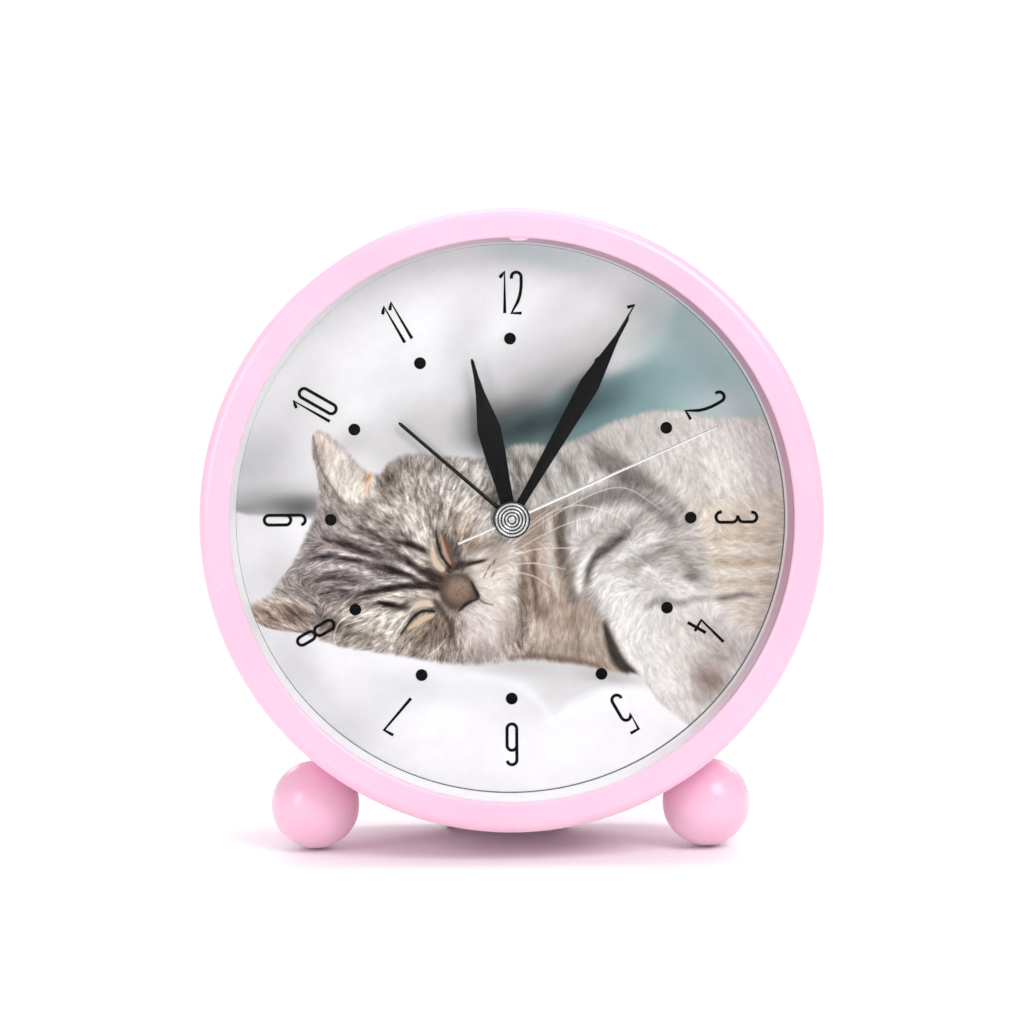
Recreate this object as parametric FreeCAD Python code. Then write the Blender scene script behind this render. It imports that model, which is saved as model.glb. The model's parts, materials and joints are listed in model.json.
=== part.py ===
import FreeCAD, Part
import math
import os

# A small quartz alarm clock on two ball feet. Millimetres and degrees.
# Every piece is made in the dial's own frame: the hands turn about the Y axis, the dial's printed face
# is at y = 0, the reader is on the -Y side, X is to the reader's right and Z is up the dial.
# stand_up() then leans the whole clock back on its feet and puts the origin under its middle, on the table.

V = FreeCAD.Vector

# stance
lean = 8.0
foot_radius = 7.8
foot_x = 34.7
foot_drop = 50.7
foot_y = 6.0
heel_y = (22.6, 26.0)
heel_half_width = 11.0

# case and front
bezel_radius = 55.0
bezel_front = -9.0
bezel_back = -3.0
bezel_shoulder = 2.2
window_radius = 49.6
rebate_radius = 51.0
lens_radius = 50.8
lens_front = -7.6
lens_thickness = 1.0
dial_sight_radius = 48.5
dial_radius = 50.8
dial_thickness = 0.5
dial_plate_back = 2.1
shell_radius = 54.6
shell_bore = 52.0
shell_back = 27.0
shell_rear_round = 1.6
cover_radius = 51.8

# the small moulded key in the window's edge at twelve o'clock
key_root = 2.5
key_tip = 1.1
key_reach = 49.05
key_aside = 1.4
key_front = -8.5

# ledge that the back cover sits on, step that the dial plate sits on, bosses for the cover's screws
ledge_width = 2.5
ledge_depth = 1.5
boss_radius = 4.0
boss_front = 12.0
cover_hole_radius = 1.25
cover_head_radius = 2.4

# sound slots over the buzzer, and its ring, disc and ceramic
slot_pitch = 2.6
slot_half_height = 0.6
slot_circle = 7.2
buzzer_radius = 9.0
buzzer_bore = 7.6
buzzer_seat = 8.5
disc_radius = 8.4
ceramic_radius = 5.6
disc_y = (22.32, 22.55, 22.75)

# far enough behind or outside everything for a cutting tool
clear_y = 30.0
cover_y = (23.5, 26.0)

# movement box
movement_x = 27.0
movement_z = (-20.0, 29.0)
front_plate_y = (2.2, 3.7)
mid_plate_y = (11.7, 12.2)
rear_wall_y = (19.1, 20.5)
pillar_places = [(-23.2, -16.2), (23.2, -16.2), (-23.2, 25.2), (23.2, 25.2)]
pillar_radius = 2.2
collar_radius = 3.2

# hand arbors, one inside the other: outer radius, inner radius
alarm_tube = (2.2, 1.65)
hour_tube = (1.6, 1.05)
cannon_tube = (1.0, 0.5)
clutch_tube = (0.88, 0.5)
arbor_radius = 0.42
plate_bore = 2.28

# hands: level of the front and back faces, angle clockwise from twelve
alarm_hand_y = (-1.4, -1.05)
hour_hand_y = (-2.45, -2.1)
minute_hand_y = (-3.65, -3.3)
second_hand_y = (-4.9, -4.62)
alarm_angle = -49.1
hour_angle = -13.6
minute_angle = 30.8
second_angle = 66.1
cap_radius = 3.25
cap_front = -6.0
cap_rings = 5

# gears: teeth, and the two modules of each arbor pair
motion_module = 0.4
motion_distance = 9.6
hour_module = 0.384
centre_module = 0.25
centre_distance = 9.0
third_module = 18.0 / 68.0
seconds_module = 0.25
step_distance = 7.5
rotor_distance = 7.0
alarm_wheel_y = (4.2, 5.2)
hour_wheel_y = (5.6, 6.6)
motion_wheel_y = (7.6, 8.6)
centre_wheel_y = (9.3, 10.1)
third_wheel_y = (10.6, 11.4)
second_wheel_y = (12.5, 13.2)
step_wheel_y = (13.6, 14.2)
pressure_angle = 20.0
tooth_share = 0.43
addendum = 0.85
dedendum = 1.2


def polar(radius, angle, centre=(0.0, 0.0)):
    """Point in the dial plane, angle counted from +X towards +Z."""
    turn = math.radians(angle)
    return (centre[0] + radius * math.cos(turn), centre[1] + radius * math.sin(turn))


alarm_set_angle = 180.0
minute_wheel_angle = 40.0
time_set_angle = -15.0
third_angle = -90.0
step_angle = 90.0
rotor_angle = 135.0
alarm_set_at = polar(motion_distance, alarm_set_angle)
minute_wheel_at = polar(motion_distance, minute_wheel_angle)
time_set_at = polar(motion_distance, time_set_angle, minute_wheel_at)
third_at = polar(centre_distance, third_angle)
step_at = polar(step_distance, step_angle)
rotor_at = polar(rotor_distance, rotor_angle, step_at)

# setting knobs and slide switch
set_shaft_radius = 1.0
knob_radius = 6.5
knob_y = (27.2, 32.5)
knob_neck_radius = 2.2
knob_flutes = 24
switch_at = (-36.0, 4.0)
switch_travel = 4.0

# battery, its bay and its door
battery_radius = 7.2
battery_half_length = 25.2
battery_y = 15.2
battery_z = -30.3
bay_x = 28.4
bay_z = (-38.4, -22.2)
bay_wall = 1.2
bay_floor = 6.6
door_half_width = 27.5
door_top = -22.3
hinge_y = 24.9
hinge_z = -38.5
door_half_thickness = 0.8
pin_radius = 0.55

# back details
cover_screw_radius = 48.2
cover_screw_angles = [30.0, 150.0, 210.0, 330.0]
buzzer_at = (0.0, 39.0)


# ---------- basic shapes ----------

def cylinder(radius, y0, y1, at=(0.0, 0.0)):
    return Part.makeCylinder(radius, y1 - y0, V(at[0], y0, at[1]), V(0, 1, 0))


def ring(outer, inner, y0, y1, at=(0.0, 0.0)):
    return cylinder(outer, y0, y1, at).cut(cylinder(inner, y0 - 1, y1 + 1, at))


def block(x0, x1, y0, y1, z0, z1):
    return Part.makeBox(x1 - x0, y1 - y0, z1 - z0, V(x0, y0, z0))


def rounded_wire(corners, place):
    """Closed outline through corners (a, b, rounding radius); place turns a pair into a 3-D point."""
    spots = [V(c[0], c[1], 0) for c in corners]
    radii = [c[2] if len(c) > 2 else 0.0 for c in corners]
    runs = []
    for i, spot in enumerate(spots):
        if radii[i] == 0.0:
            runs.append((spot, None, spot))
            continue
        before = (spots[i - 1] - spot).normalize()
        after = (spots[(i + 1) % len(spots)] - spot).normalize()
        half = before.getAngle(after) / 2
        inward = (before + after).normalize()
        reach = radii[i] / math.tan(half)
        middle = spot + inward * (radii[i] / math.sin(half) - radii[i])
        runs.append((spot + before * reach, middle, spot + after * reach))
    edges = []
    for i, (start, middle, end) in enumerate(runs):
        if middle is not None:
            edges.append(Part.Arc(place(start), place(middle), place(end)).toShape())
        following = runs[(i + 1) % len(runs)][0]
        if (following - end).Length > 1e-7:
            edges.append(Part.LineSegment(place(end), place(following)).toShape())
    return Part.Wire(edges)


def turned(corners):
    """Solid turned about the hands' axis from an outline of (radius, y, rounding)."""
    face = Part.Face(rounded_wire(corners, lambda p: V(p.x, p.y, 0)))
    return face.revolve(V(0, 0, 0), V(0, 1, 0), 360)


def plate(corners, y0, y1):
    """Flat solid from an outline of (x, z, rounding) between two levels."""
    face = Part.Face(rounded_wire(corners, lambda p: V(p.x, y0, p.y)))
    return face.extrude(V(0, y1 - y0, 0))


def slab(x0, x1, z0, z1, y0, y1, rounding):
    return plate([(x0, z0, rounding), (x1, z0, rounding), (x1, z1, rounding), (x0, z1, rounding)], y0, y1)


def fused(shapes):
    whole = shapes[0]
    for shape in shapes[1:]:
        whole = whole.fuse(shape)
    return whole.removeSplitter()


def cut(shape, tools):
    for tool in tools:
        shape = shape.cut(tool)
    return shape


def clockwise(shape, angle):
    """Turn about the hands' axis, clockwise for the reader."""
    turned_shape = shape.copy()
    turned_shape.rotate(V(0, 0, 0), V(0, 1, 0), angle)
    return turned_shape


# ---------- gears ----------

def tooth_half_angle(teeth, module, radius):
    pitch = module * teeth / 2
    base = pitch * math.cos(math.radians(pressure_angle))
    lead = math.radians(pressure_angle)
    at_pitch = tooth_share * math.pi / teeth + math.tan(lead) - lead
    if radius <= base:
        return at_pitch
    slope = math.acos(base / radius)
    return at_pitch - (math.tan(slope) - slope)


def gear(teeth, module, y0, y1, bore, at=(0.0, 0.0), phase=0.0):
    """Spur gear whose first tooth points along phase (degrees from +X towards +Z)."""
    pitch = module * teeth / 2
    root = pitch - dedendum * module
    tip = pitch + addendum * module
    base = pitch * math.cos(math.radians(pressure_angle))
    foot = max(root, base)
    flank = [root, foot, (foot + tip) / 2, tip] if foot > root else [root, (root + tip) / 2, tip]
    points = []
    for k in range(teeth):
        middle = math.radians(phase) + 2 * math.pi * k / teeth
        rising = [(r, middle - tooth_half_angle(teeth, module, r)) for r in flank]
        falling = [(r, middle + tooth_half_angle(teeth, module, r)) for r in reversed(flank)]
        for r, turn in rising + falling:
            points.append(V(at[0] + r * math.cos(turn), y0, at[1] + r * math.sin(turn)))
    points.append(points[0])
    body = Part.Face(Part.makePolygon(points)).extrude(V(0, y1 - y0, 0))
    return body.cut(cylinder(bore, y0 - 1, y1 + 1, at)) if bore else body


def mesh_phase(teeth, partner_teeth, partner_phase, direction):
    """Phase that puts a gap of this gear on the partner's tooth; direction runs from partner to this gear."""
    partner_pitch = 360.0 / partner_teeth
    past_tooth = ((direction - partner_phase) / partner_pitch) % 1.0
    return direction + 180.0 - (0.5 - past_tooth) * 360.0 / teeth


# ---------- case ----------

def make_bezel():
    frame = turned([
        (window_radius, bezel_front, 0.7),
        (bezel_radius, bezel_front, bezel_shoulder),
        (bezel_radius, bezel_back, 0.5),
        (shell_bore - 0.1, bezel_back),
        (shell_bore - 0.1, bezel_back + 2.4),
        (rebate_radius, bezel_back + 2.4),
        (rebate_radius, lens_front),
        (window_radius, lens_front, 0.2),
    ])
    key = plate([
        (key_aside - key_root, window_radius + 0.4),
        (key_aside + key_root, window_radius + 0.4),
        (key_aside + key_tip, key_reach, 0.3),
        (key_aside - key_tip, key_reach, 0.3),
    ], key_front, lens_front - 0.05)
    return fused([frame, key])


def make_lens():
    back = lens_front + lens_thickness
    return turned([(0, lens_front), (lens_radius, lens_front, 0.2), (lens_radius, back, 0.2), (0, back)])


def make_dial_ring():
    front = lens_front + lens_thickness
    return turned([
        (window_radius, front),
        (lens_radius, front),
        (lens_radius, 0),
        (dial_sight_radius, 0),
    ])


def make_dial():
    return ring(dial_radius, collar_radius + 0.1, 0, dial_thickness)


def make_dial_plate():
    body = ring(cover_radius, collar_radius + 0.1, dial_thickness, dial_plate_back)
    rib_places = [polar(40.0, a) for a in range(0, 360, 60)]
    relief = [cylinder(4.5, dial_thickness + 0.8, dial_plate_back + 1, at) for at in rib_places]
    return cut(body, relief)


def radial_cylinder(radius, near, far, angle, y):
    start = polar(near, angle)
    side = polar(1.0, angle)
    return Part.makeCylinder(radius, far - near, V(start[0], y, start[1]), V(side[0], 0, side[1]))


def foot_angle(side):
    return -90.0 + side * math.degrees(math.atan2(foot_x, foot_drop))


foot_reach = math.hypot(foot_x, foot_drop)
foot_screw_radius = 1.4
foot_head_radius = 2.3
foot_head_reach = (50.1, 51.9)


def make_shell():
    drum = turned([
        (shell_bore, bezel_back),
        (shell_radius, bezel_back, 0.4),
        (shell_radius, shell_back, shell_rear_round),
        (shell_bore, shell_back, 0.5),
        (shell_bore, cover_y[0]),
        (shell_bore - ledge_width, cover_y[0]),
        (shell_bore - ledge_width, cover_y[0] - ledge_depth),
        (shell_bore, cover_y[0] - ledge_depth),
        (shell_bore, dial_plate_back + ledge_depth),
        (shell_bore - ledge_width, dial_plate_back + ledge_depth),
        (shell_bore - ledge_width, dial_plate_back),
        (shell_bore, dial_plate_back),
    ])
    solids = [drum]
    holes = []
    for angle in cover_screw_angles:
        at = polar(cover_screw_radius, angle)
        solids.append(cylinder(boss_radius, boss_front, cover_y[0], at))
        holes.append(cylinder(cover_hole_radius, boss_front - 1, cover_y[0] + 1, at))
    for side in (-1, 1):
        hole_radius = foot_screw_radius + 0.1
        holes.append(radial_cylinder(hole_radius, shell_bore - 2, shell_radius + 2, foot_angle(side), foot_y))
    return cut(fused(solids), holes)


def make_foot(side):
    at = polar(foot_reach, foot_angle(side))
    ball = Part.makeSphere(foot_radius)
    ball.rotate(V(0, 0, 0), V(1, 0, 0), 90)
    ball.rotate(V(0, 0, 0), V(0, 1, 0), -foot_angle(side))
    ball.translate(V(at[0], foot_y, at[1]))
    drum = cylinder(shell_radius + 0.02, bezel_back, shell_back)
    bore = radial_cylinder(foot_screw_radius, shell_radius - 2, foot_reach, foot_angle(side), foot_y)
    return cut(ball, [drum, bore])


def make_foot_screws():
    screws = []
    for side in (-1, 1):
        angle = foot_angle(side)
        shank_radius = foot_screw_radius - 0.03
        shank = radial_cylinder(shank_radius, foot_head_reach[1] - 0.1, foot_reach - 1, angle, foot_y)
        head = radial_cylinder(foot_head_radius, foot_head_reach[0], foot_head_reach[1], angle, foot_y)
        slot_at = polar(foot_head_reach[0], angle)
        slot = block(-3, 3, -0.35, 0.35, -0.7, 0.7)
        slot.rotate(V(0, 0, 0), V(0, 1, 0), 90.0 - angle)
        slot.translate(V(slot_at[0], foot_y, slot_at[1]))
        screws.append(cut(fused([shank, head]), [slot]))
    return Part.makeCompound(screws)


lean_sin = math.sin(math.radians(lean))
lean_cos = math.cos(math.radians(lean))
axis_height = foot_radius + foot_drop * lean_cos + foot_y * lean_sin
front_reach = ((bezel_front + bezel_shoulder) * lean_cos
               - (bezel_radius - bezel_shoulder) * lean_sin - bezel_shoulder)
rear_reach = ((shell_back - shell_rear_round) * lean_cos
              + (shell_radius - shell_rear_round) * lean_sin + shell_rear_round)
middle_y = (front_reach + rear_reach) / 2


def stand_up(shape):
    """From the dial's frame to the clock's own: lean back, then origin on the table under the middle."""
    placed = shape.copy()
    placed.rotate(V(0, 0, 0), V(1, 0, 0), -lean)
    placed.translate(V(0, -middle_y, axis_height))
    return placed


def make_heel():
    pad = ring(shell_radius + 4, shell_radius + 0.02, heel_y[0], heel_y[1])
    pad = pad.common(block(-heel_half_width, heel_half_width, 0, shell_back, -70, 0))
    table = block(-80, 80, -80, 80, -40, 0)
    table.translate(V(0, middle_y, -axis_height))
    table.rotate(V(0, 0, 0), V(1, 0, 0), lean)
    return pad.cut(table)


def make_back_cover():
    outline = turned([
        (0, cover_y[0]),
        (cover_radius, cover_y[0]),
        (cover_radius, cover_y[1], 0.5),
        (0, cover_y[1]),
    ])
    through = (cover_y[0] - 3.5, clear_y)
    neck_gap = knob_neck_radius + 0.3
    tools = [cylinder(neck_gap, through[0], through[1], at) for at in (alarm_set_at, time_set_at)]
    for angle in cover_screw_angles:
        at = polar(cover_screw_radius, angle)
        tools.append(cylinder(cover_hole_radius + 0.15, through[0], through[1], at))
        tools.append(cylinder(cover_head_radius + 0.3, cover_y[0] + 1.1, clear_y, at))
    for row in range(-2, 3):
        z = buzzer_at[1] + slot_pitch * row
        half = math.sqrt(slot_circle ** 2 - (slot_pitch * row) ** 2)
        low, high = z - slot_half_height, z + slot_half_height
        tools.append(slab(-half, half, low, high, through[0], through[1], 0.55))
    x, z = switch_at
    tools.append(slab(x - 1.65, x + 1.65, z - 2.2, z + 2.2 + switch_travel, through[0], through[1], 0.3))
    tools.append(slab(x - 3.4, x + 3.4, z - 4.4, z + 4.4 + switch_travel, cover_y[1] - 0.7, clear_y, 0.8))
    gap = 0.15
    tools.append(block(-door_half_width - gap, door_half_width + gap, through[0], through[1],
                       hinge_z - door_half_thickness - gap, door_top + gap))
    pin_gap = pin_radius + 0.1
    for side in (-1, 1):
        middle = side * (door_half_width + 0.9)
        tools.append(block(middle - 1.0, middle + 1.0, through[0], hinge_y + pin_radius + 0.07,
                           hinge_z - pin_gap, hinge_z + pin_gap))
    return cut(outline, tools)


def make_cover_screws():
    screws = []
    for angle in cover_screw_angles:
        at = polar(cover_screw_radius, angle)
        shank = cylinder(cover_hole_radius - 0.05, boss_front + 1, cover_y[0] + 1.2, at)
        head = cylinder(cover_head_radius, cover_y[0] + 1.1, cover_y[1] - 0.1, at)
        arms = []
        for half_x, half_z in ((1.6, 0.3), (0.3, 1.6)):
            arms.append(block(at[0] - half_x, at[0] + half_x, cover_y[1] - 0.8, clear_y,
                              at[1] - half_z, at[1] + half_z))
        screws.append(cut(fused([shank, head]), arms))
    return Part.makeCompound(screws)


# ---------- battery ----------

def x_cylinder(radius, x0, x1, y, z):
    return Part.makeCylinder(radius, x1 - x0, V(x0, y, z), V(1, 0, 0))


def make_tray():
    outer = block(-bay_x - bay_wall, bay_x + bay_wall, bay_floor - bay_wall, cover_y[0],
                  bay_z[0] - bay_wall, bay_z[1] + bay_wall)
    inner = block(-bay_x, bay_x, bay_floor, cover_y[0] + 1, bay_z[0], bay_z[1])
    pin_slots = []
    for side in (-1, 1):
        middle = side * (bay_x + 0.4)
        pin_slots.append(block(middle - 3, middle + 3, 22.0, 24.0, hinge_z - 0.9, hinge_z + 0.9))
    return cut(outer, [inner] + pin_slots)


def make_battery():
    can = x_cylinder(battery_radius, -battery_half_length, battery_half_length - 1.2, battery_y, battery_z)
    can = can.makeFillet(0.6, [e for e in can.Edges if e.Length > 40])
    nub = x_cylinder(2.7, battery_half_length - 1.5, battery_half_length, battery_y, battery_z)
    return fused([can, nub])


tab_y = (9.0, 21.4)
tab_half = 5.4


def make_spring_contact():
    tab = block(-bay_x + 0.02, -bay_x + 0.32, tab_y[0], tab_y[1], battery_z - tab_half, battery_z + tab_half)
    coils = []
    for turn, radius in enumerate((4.2, 3.5, 2.8)):
        x = -bay_x + 0.7 + 0.85 * turn
        coils.append(Part.makeTorus(radius, 0.4, V(x, battery_y, battery_z), V(1, 0, 0)))
    strut = block(-bay_x + 0.2, -bay_x + 2.4, battery_y - 0.3, battery_y + 0.3,
                  battery_z + 2.7, battery_z + 4.3)
    return fused([tab] + coils + [strut])


def make_plate_contact():
    tab = block(bay_x - 0.34, bay_x - 0.04, tab_y[0], tab_y[1], battery_z - tab_half, battery_z + tab_half)
    dimple = x_cylinder(1.8, battery_half_length + 0.05, bay_x - 0.1, battery_y, battery_z)
    return fused([tab, dimple])


def make_door():
    panel = block(-door_half_width, door_half_width, hinge_y - door_half_thickness,
                  hinge_y + door_half_thickness, hinge_z, door_top)
    edge = x_cylinder(door_half_thickness, -door_half_width, door_half_width, hinge_y, hinge_z)
    pins = x_cylinder(pin_radius, -door_half_width - 1.6, door_half_width + 1.6, hinge_y, hinge_z)
    notch = slab(-4.0, 4.0, door_top - 2.2, door_top + 1, hinge_y, hinge_y + 2, 0.6)
    return fused([panel.cut(notch), edge, pins])


# ---------- movement frame ----------

def make_front_plate():
    x, (z0, z1) = movement_x, movement_z
    base = slab(-x, x, z0, z1, front_plate_y[0], front_plate_y[1], 2.0)
    pillars = [cylinder(pillar_radius, front_plate_y[1], mid_plate_y[0], at) for at in pillar_places]
    collar = cylinder(collar_radius, -0.6, front_plate_y[0], (0, 0))
    minute_post = cylinder(0.6, front_plate_y[1], 9.0, minute_wheel_at)
    tools = [cylinder(plate_bore, -2, 5)]
    tools += [cylinder(1.0, 6.0, 20, at) for at in pillar_places]
    return cut(fused([base, collar, minute_post] + pillars), tools)


def make_collar_nut():
    return ring(collar_radius + 0.35, collar_radius + 0.02, -0.62, -0.02)


def make_mid_plate():
    base = slab(-25.2, 25.2, -18.2, 27.2, mid_plate_y[0], mid_plate_y[1], 1.0)
    tools = [cylinder(1.0, 11, 13, at) for at in pillar_places]
    tools += [cylinder(arbor_radius + 0.08, 11, 13), cylinder(0.45, 11, 13, third_at)]
    tools += [cylinder(0.4, 11, 13, step_at)]
    tools += [cylinder(set_shaft_radius + 0.08, 11, 13, at) for at in (alarm_set_at, time_set_at)]
    return cut(base, tools)


def make_rear_cover():
    x, (z0, z1) = movement_x, movement_z
    wall = 1.4
    outer = slab(-x, x, z0, z1, front_plate_y[1], rear_wall_y[1], 2.0)
    hollow = slab(-x + wall, x - wall, z0 + wall, z1 - wall, front_plate_y[1] - 1, rear_wall_y[0], 1.0)
    pillars = [cylinder(pillar_radius, mid_plate_y[1], rear_wall_y[0] + 0.2, at) for at in pillar_places]
    tools = [cylinder(1.1, 0, 30, at) for at in pillar_places]
    tools += [cylinder(set_shaft_radius + 0.08, 10, 30, at) for at in (alarm_set_at, time_set_at)]
    neck_gap = knob_neck_radius + 0.3
    tools += [cylinder(neck_gap, rear_wall_y[0] + 0.6, clear_y, at) for at in (alarm_set_at, time_set_at)]
    return cut(fused([outer.cut(hollow)] + pillars), tools)


def make_movement_screws():
    screws = []
    for at in pillar_places:
        shank = cylinder(0.95, 6.5, rear_wall_y[1] + 0.1, at)
        head = cylinder(1.9, rear_wall_y[1], rear_wall_y[1] + 1.3, at)
        slot = block(at[0] - 2, at[0] + 2, rear_wall_y[1] + 0.7, clear_y, at[1] - 0.25, at[1] + 0.25)
        screws.append(cut(fused([shank, head]), [slot]))
    return Part.makeCompound(screws)


# ---------- motor and circuit ----------

coil_x = (-12.5, 2.5)
core_y = (16.0, 17.0)
coil_z = 24.0
stator_y = (15.0, 16.0)


def make_stator():
    x, z = rotor_at
    base = slab(-19.0, 9.0, 8.6, 26.4, stator_y[0], stator_y[1], 0.8)
    tools = [slab(-14.6, 4.6, 17.0, 40.0, 10, 20, 1.0)]
    tools += [cylinder(3.5, 10, 20, rotor_at)]
    tools += [cylinder(0.5, 10, 20, (x - 3.4, z + 2.2)), cylinder(0.5, 10, 20, (x + 3.4, z - 2.2))]
    return cut(base, tools)


def make_core():
    return slab(-19.0, 9.0, coil_z - 1.1, coil_z + 1.1, core_y[0], core_y[1], 0.4)


def make_bobbin():
    middle = (core_y[0] + core_y[1]) / 2
    cheeks = [block(x, x + 0.8, middle - 2.3, middle + 2.3, coil_z - 2.9, coil_z + 2.9)
              for x in (coil_x[0], coil_x[1] - 0.8)]
    sleeve = block(coil_x[0], coil_x[1], middle - 0.9, middle + 0.9, coil_z - 1.5, coil_z + 1.5)
    bore = block(-30, 30, core_y[0] - 0.02, core_y[1] + 0.02, coil_z - 1.12, coil_z + 1.12)
    return cut(fused(cheeks + [sleeve]), [bore])


def make_winding():
    middle = (core_y[0] + core_y[1]) / 2
    outer = block(coil_x[0] + 0.85, coil_x[1] - 0.85, middle - 2.1, middle + 2.1, coil_z - 2.6, coil_z + 2.6)
    outer = outer.makeFillet(0.9, [e for e in outer.Edges if abs(e.tangentAt(e.FirstParameter).x) > 0.9])
    bore = block(-30, 30, middle - 0.92, middle + 0.92, coil_z - 1.52, coil_z + 1.52)
    return outer.cut(bore)


def make_circuit_board():
    return slab(10.4, 20.6, 8.5, 26.8, 17.4, 18.2, 0.6)


def make_chip():
    return turned([(0, 16.3), (2.4, 16.3, 0.7), (2.9, 17.38), (0, 17.38)]).translated(V(15.8, 0, 21.5))


def make_crystal():
    can = Part.makeCylinder(1.0, 6.0, V(13.0, 16.3, 10.0), V(0, 0, 1))
    return can.makeFillet(0.25, [e for e in can.Edges if e.Length > 6 and e.Length < 6.5])


def make_buzzer_ring():
    outer = cylinder(buzzer_radius, rear_wall_y[1] + 0.1, cover_y[0], buzzer_at)
    bore = cylinder(buzzer_bore, rear_wall_y[1], clear_y, buzzer_at)
    seat = cylinder(buzzer_seat, disc_y[0] - 0.02, clear_y, buzzer_at)
    return cut(outer, [bore, seat])


def make_buzzer_disc():
    brass = cylinder(disc_radius, disc_y[0], disc_y[1], buzzer_at)
    ceramic = cylinder(ceramic_radius, disc_y[1], disc_y[2], buzzer_at)
    return fused([brass, ceramic])


def make_alarm_contact():
    strip = plate([(-15.0, -12.2), (-12.6, -13.6), (-1.9, -3.6, 0.4), (-3.2, -2.2, 0.4)], 6.78, 6.98)
    stand = cylinder(1.6, front_plate_y[1], 6.9, (-13.4, -12.2))
    return fused([strip, stand])


def make_switch_contact():
    x, z = switch_at
    base = slab(x - 4.4, x + 4.4, z - 6.0, z + 10.0, 20.2, 21.0, 0.6)
    legs = []
    for leg_x in (x - 4.0, x + 4.0):
        for leg_z in (z - 5.1, z + 9.1):
            legs.append(block(leg_x - 0.4, leg_x + 0.4, 21.0, cover_y[0], leg_z - 0.5, leg_z + 0.5))
    return fused([base] + legs)


def make_switch_spring():
    x, z = switch_at
    strip = block(x - 1.2, x + 1.2, 21.02, 21.3, z - 4.0, z + 8.0)
    wave = Part.makeCylinder(0.45, 2.4, V(x - 1.2, 21.52, z + 6.0), V(1, 0, 0))
    return fused([strip, wave])


def make_switch_slider():
    x, z = switch_at
    inner = slab(x - 2.8, x + 2.8, z - 3.4, z + 3.4, 22.0, cover_y[0] - 0.15, 0.4)
    stem = slab(x - 1.5, x + 1.5, z - 2.0, z + 2.0, 23.0, 26.0, 0.2)
    head = slab(x - 2.8, x + 2.8, z - 3.6, z + 3.6, 25.5, 27.3, 0.8)
    grooves = []
    for k in range(-2, 3):
        middle = z + 1.2 * k
        grooves.append(block(x - 4, x + 4, 26.9, clear_y, middle - 0.25, middle + 0.25))
    return cut(fused([inner, stem, head]), grooves)


# ---------- hands ----------

def needle(outline, levels, hub_radius, bore, angle):
    """Hand from a list of (distance from the axis, half width), made pointing at twelve and then turned."""
    right = [(w, r) for r, w in outline]
    left = [(-w, r) for r, w in reversed(outline)]
    blade = plate(right + left, levels[0], levels[1])
    hub = cylinder(hub_radius, levels[0], levels[1])
    return clockwise(fused([blade, hub]).cut(cylinder(bore, -20, 20)), angle)


def make_hour_hand():
    outline = [(0.5, 1.15), (6.0, 1.35), (12.0, 1.9), (16.4, 2.08), (19.4, 1.5), (22.6, 0.86),
               (25.8, 0.44), (28.6, 0.3), (29.1, 0.12)]
    return needle(outline, hour_hand_y, 2.9, hour_tube[0], hour_angle)


def make_minute_hand():
    outline = [(0.5, 0.7), (6.0, 0.76), (17.3, 1.28), (26.4, 1.65), (29.6, 1.25), (32.4, 0.8),
               (35.2, 0.46), (40.6, 0.3), (41.2, 0.12)]
    return needle(outline, minute_hand_y, 2.5, cannon_tube[0], minute_angle)


def make_alarm_hand():
    outline = [(0.5, 0.5), (4.0, 0.36), (25.6, 0.32), (26.1, 0.15)]
    return needle(outline, alarm_hand_y, 3.0, alarm_tube[0], alarm_angle)


def make_second_hand():
    outline = [(-10.4, 0.24), (2.0, 0.34), (39.6, 0.18), (40.1, 0.08)]
    return needle(outline, second_hand_y, 1.6, arbor_radius, second_angle)


def make_second_cap():
    pitch = (cap_radius - 0.5) / cap_rings
    corners = [(0, cap_front)]
    for k in range(cap_rings):
        start = 0.35 + k * pitch
        corners.append((start, cap_front))
        corners.append((start + 0.12, cap_front + 0.14))
        corners.append((start + 0.26, cap_front + 0.14))
        corners.append((start + 0.38, cap_front))
    corners += [(cap_radius, cap_front, 0.25), (cap_radius, second_hand_y[0], 0.1), (0, second_hand_y[0])]
    return turned(corners)


# ---------- wheels ----------

cannon_phase = 0.0
minute_wheel_phase = mesh_phase(36, 12, cannon_phase, minute_wheel_angle)
time_set_phase = mesh_phase(12, 36, minute_wheel_phase, time_set_angle)
minute_pinion_phase = 0.0
hour_wheel_phase = mesh_phase(40, 10, minute_pinion_phase, minute_wheel_angle + 180.0)
alarm_wheel_phase = 0.0
alarm_set_phase = mesh_phase(12, 36, alarm_wheel_phase, alarm_set_angle)
centre_wheel_phase = 0.0
third_pinion_phase = mesh_phase(8, 64, centre_wheel_phase, third_angle)
third_wheel_phase = 0.0
second_pinion_phase = mesh_phase(8, 60, third_wheel_phase, third_angle + 180.0)
second_wheel_phase = 0.0
step_pinion_phase = mesh_phase(10, 50, second_wheel_phase, step_angle)
step_wheel_phase = 0.0
rotor_pinion_phase = mesh_phase(8, 48, step_wheel_phase, rotor_angle)


def spoke_windows(inner, outer, y0, y1, at, count):
    """Rounded lightening holes between a wheel's hub and rim."""
    radius = (outer - inner) / 2
    places = [polar(inner + radius, 360.0 * (k + 0.5) / count, at) for k in range(count)]
    return [cylinder(radius, y0 - 1, y1 + 1, place) for place in places]


def make_alarm_wheel():
    y0, y1 = alarm_wheel_y
    wheel = gear(36, motion_module, y0, y1, alarm_tube[1], (0, 0), alarm_wheel_phase)
    tube = ring(alarm_tube[0], alarm_tube[1], alarm_hand_y[0], alarm_wheel_y[1])
    return fused([cut(wheel, spoke_windows(3.0, 6.0, 4, 6, (0, 0), 5)), tube])


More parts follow.
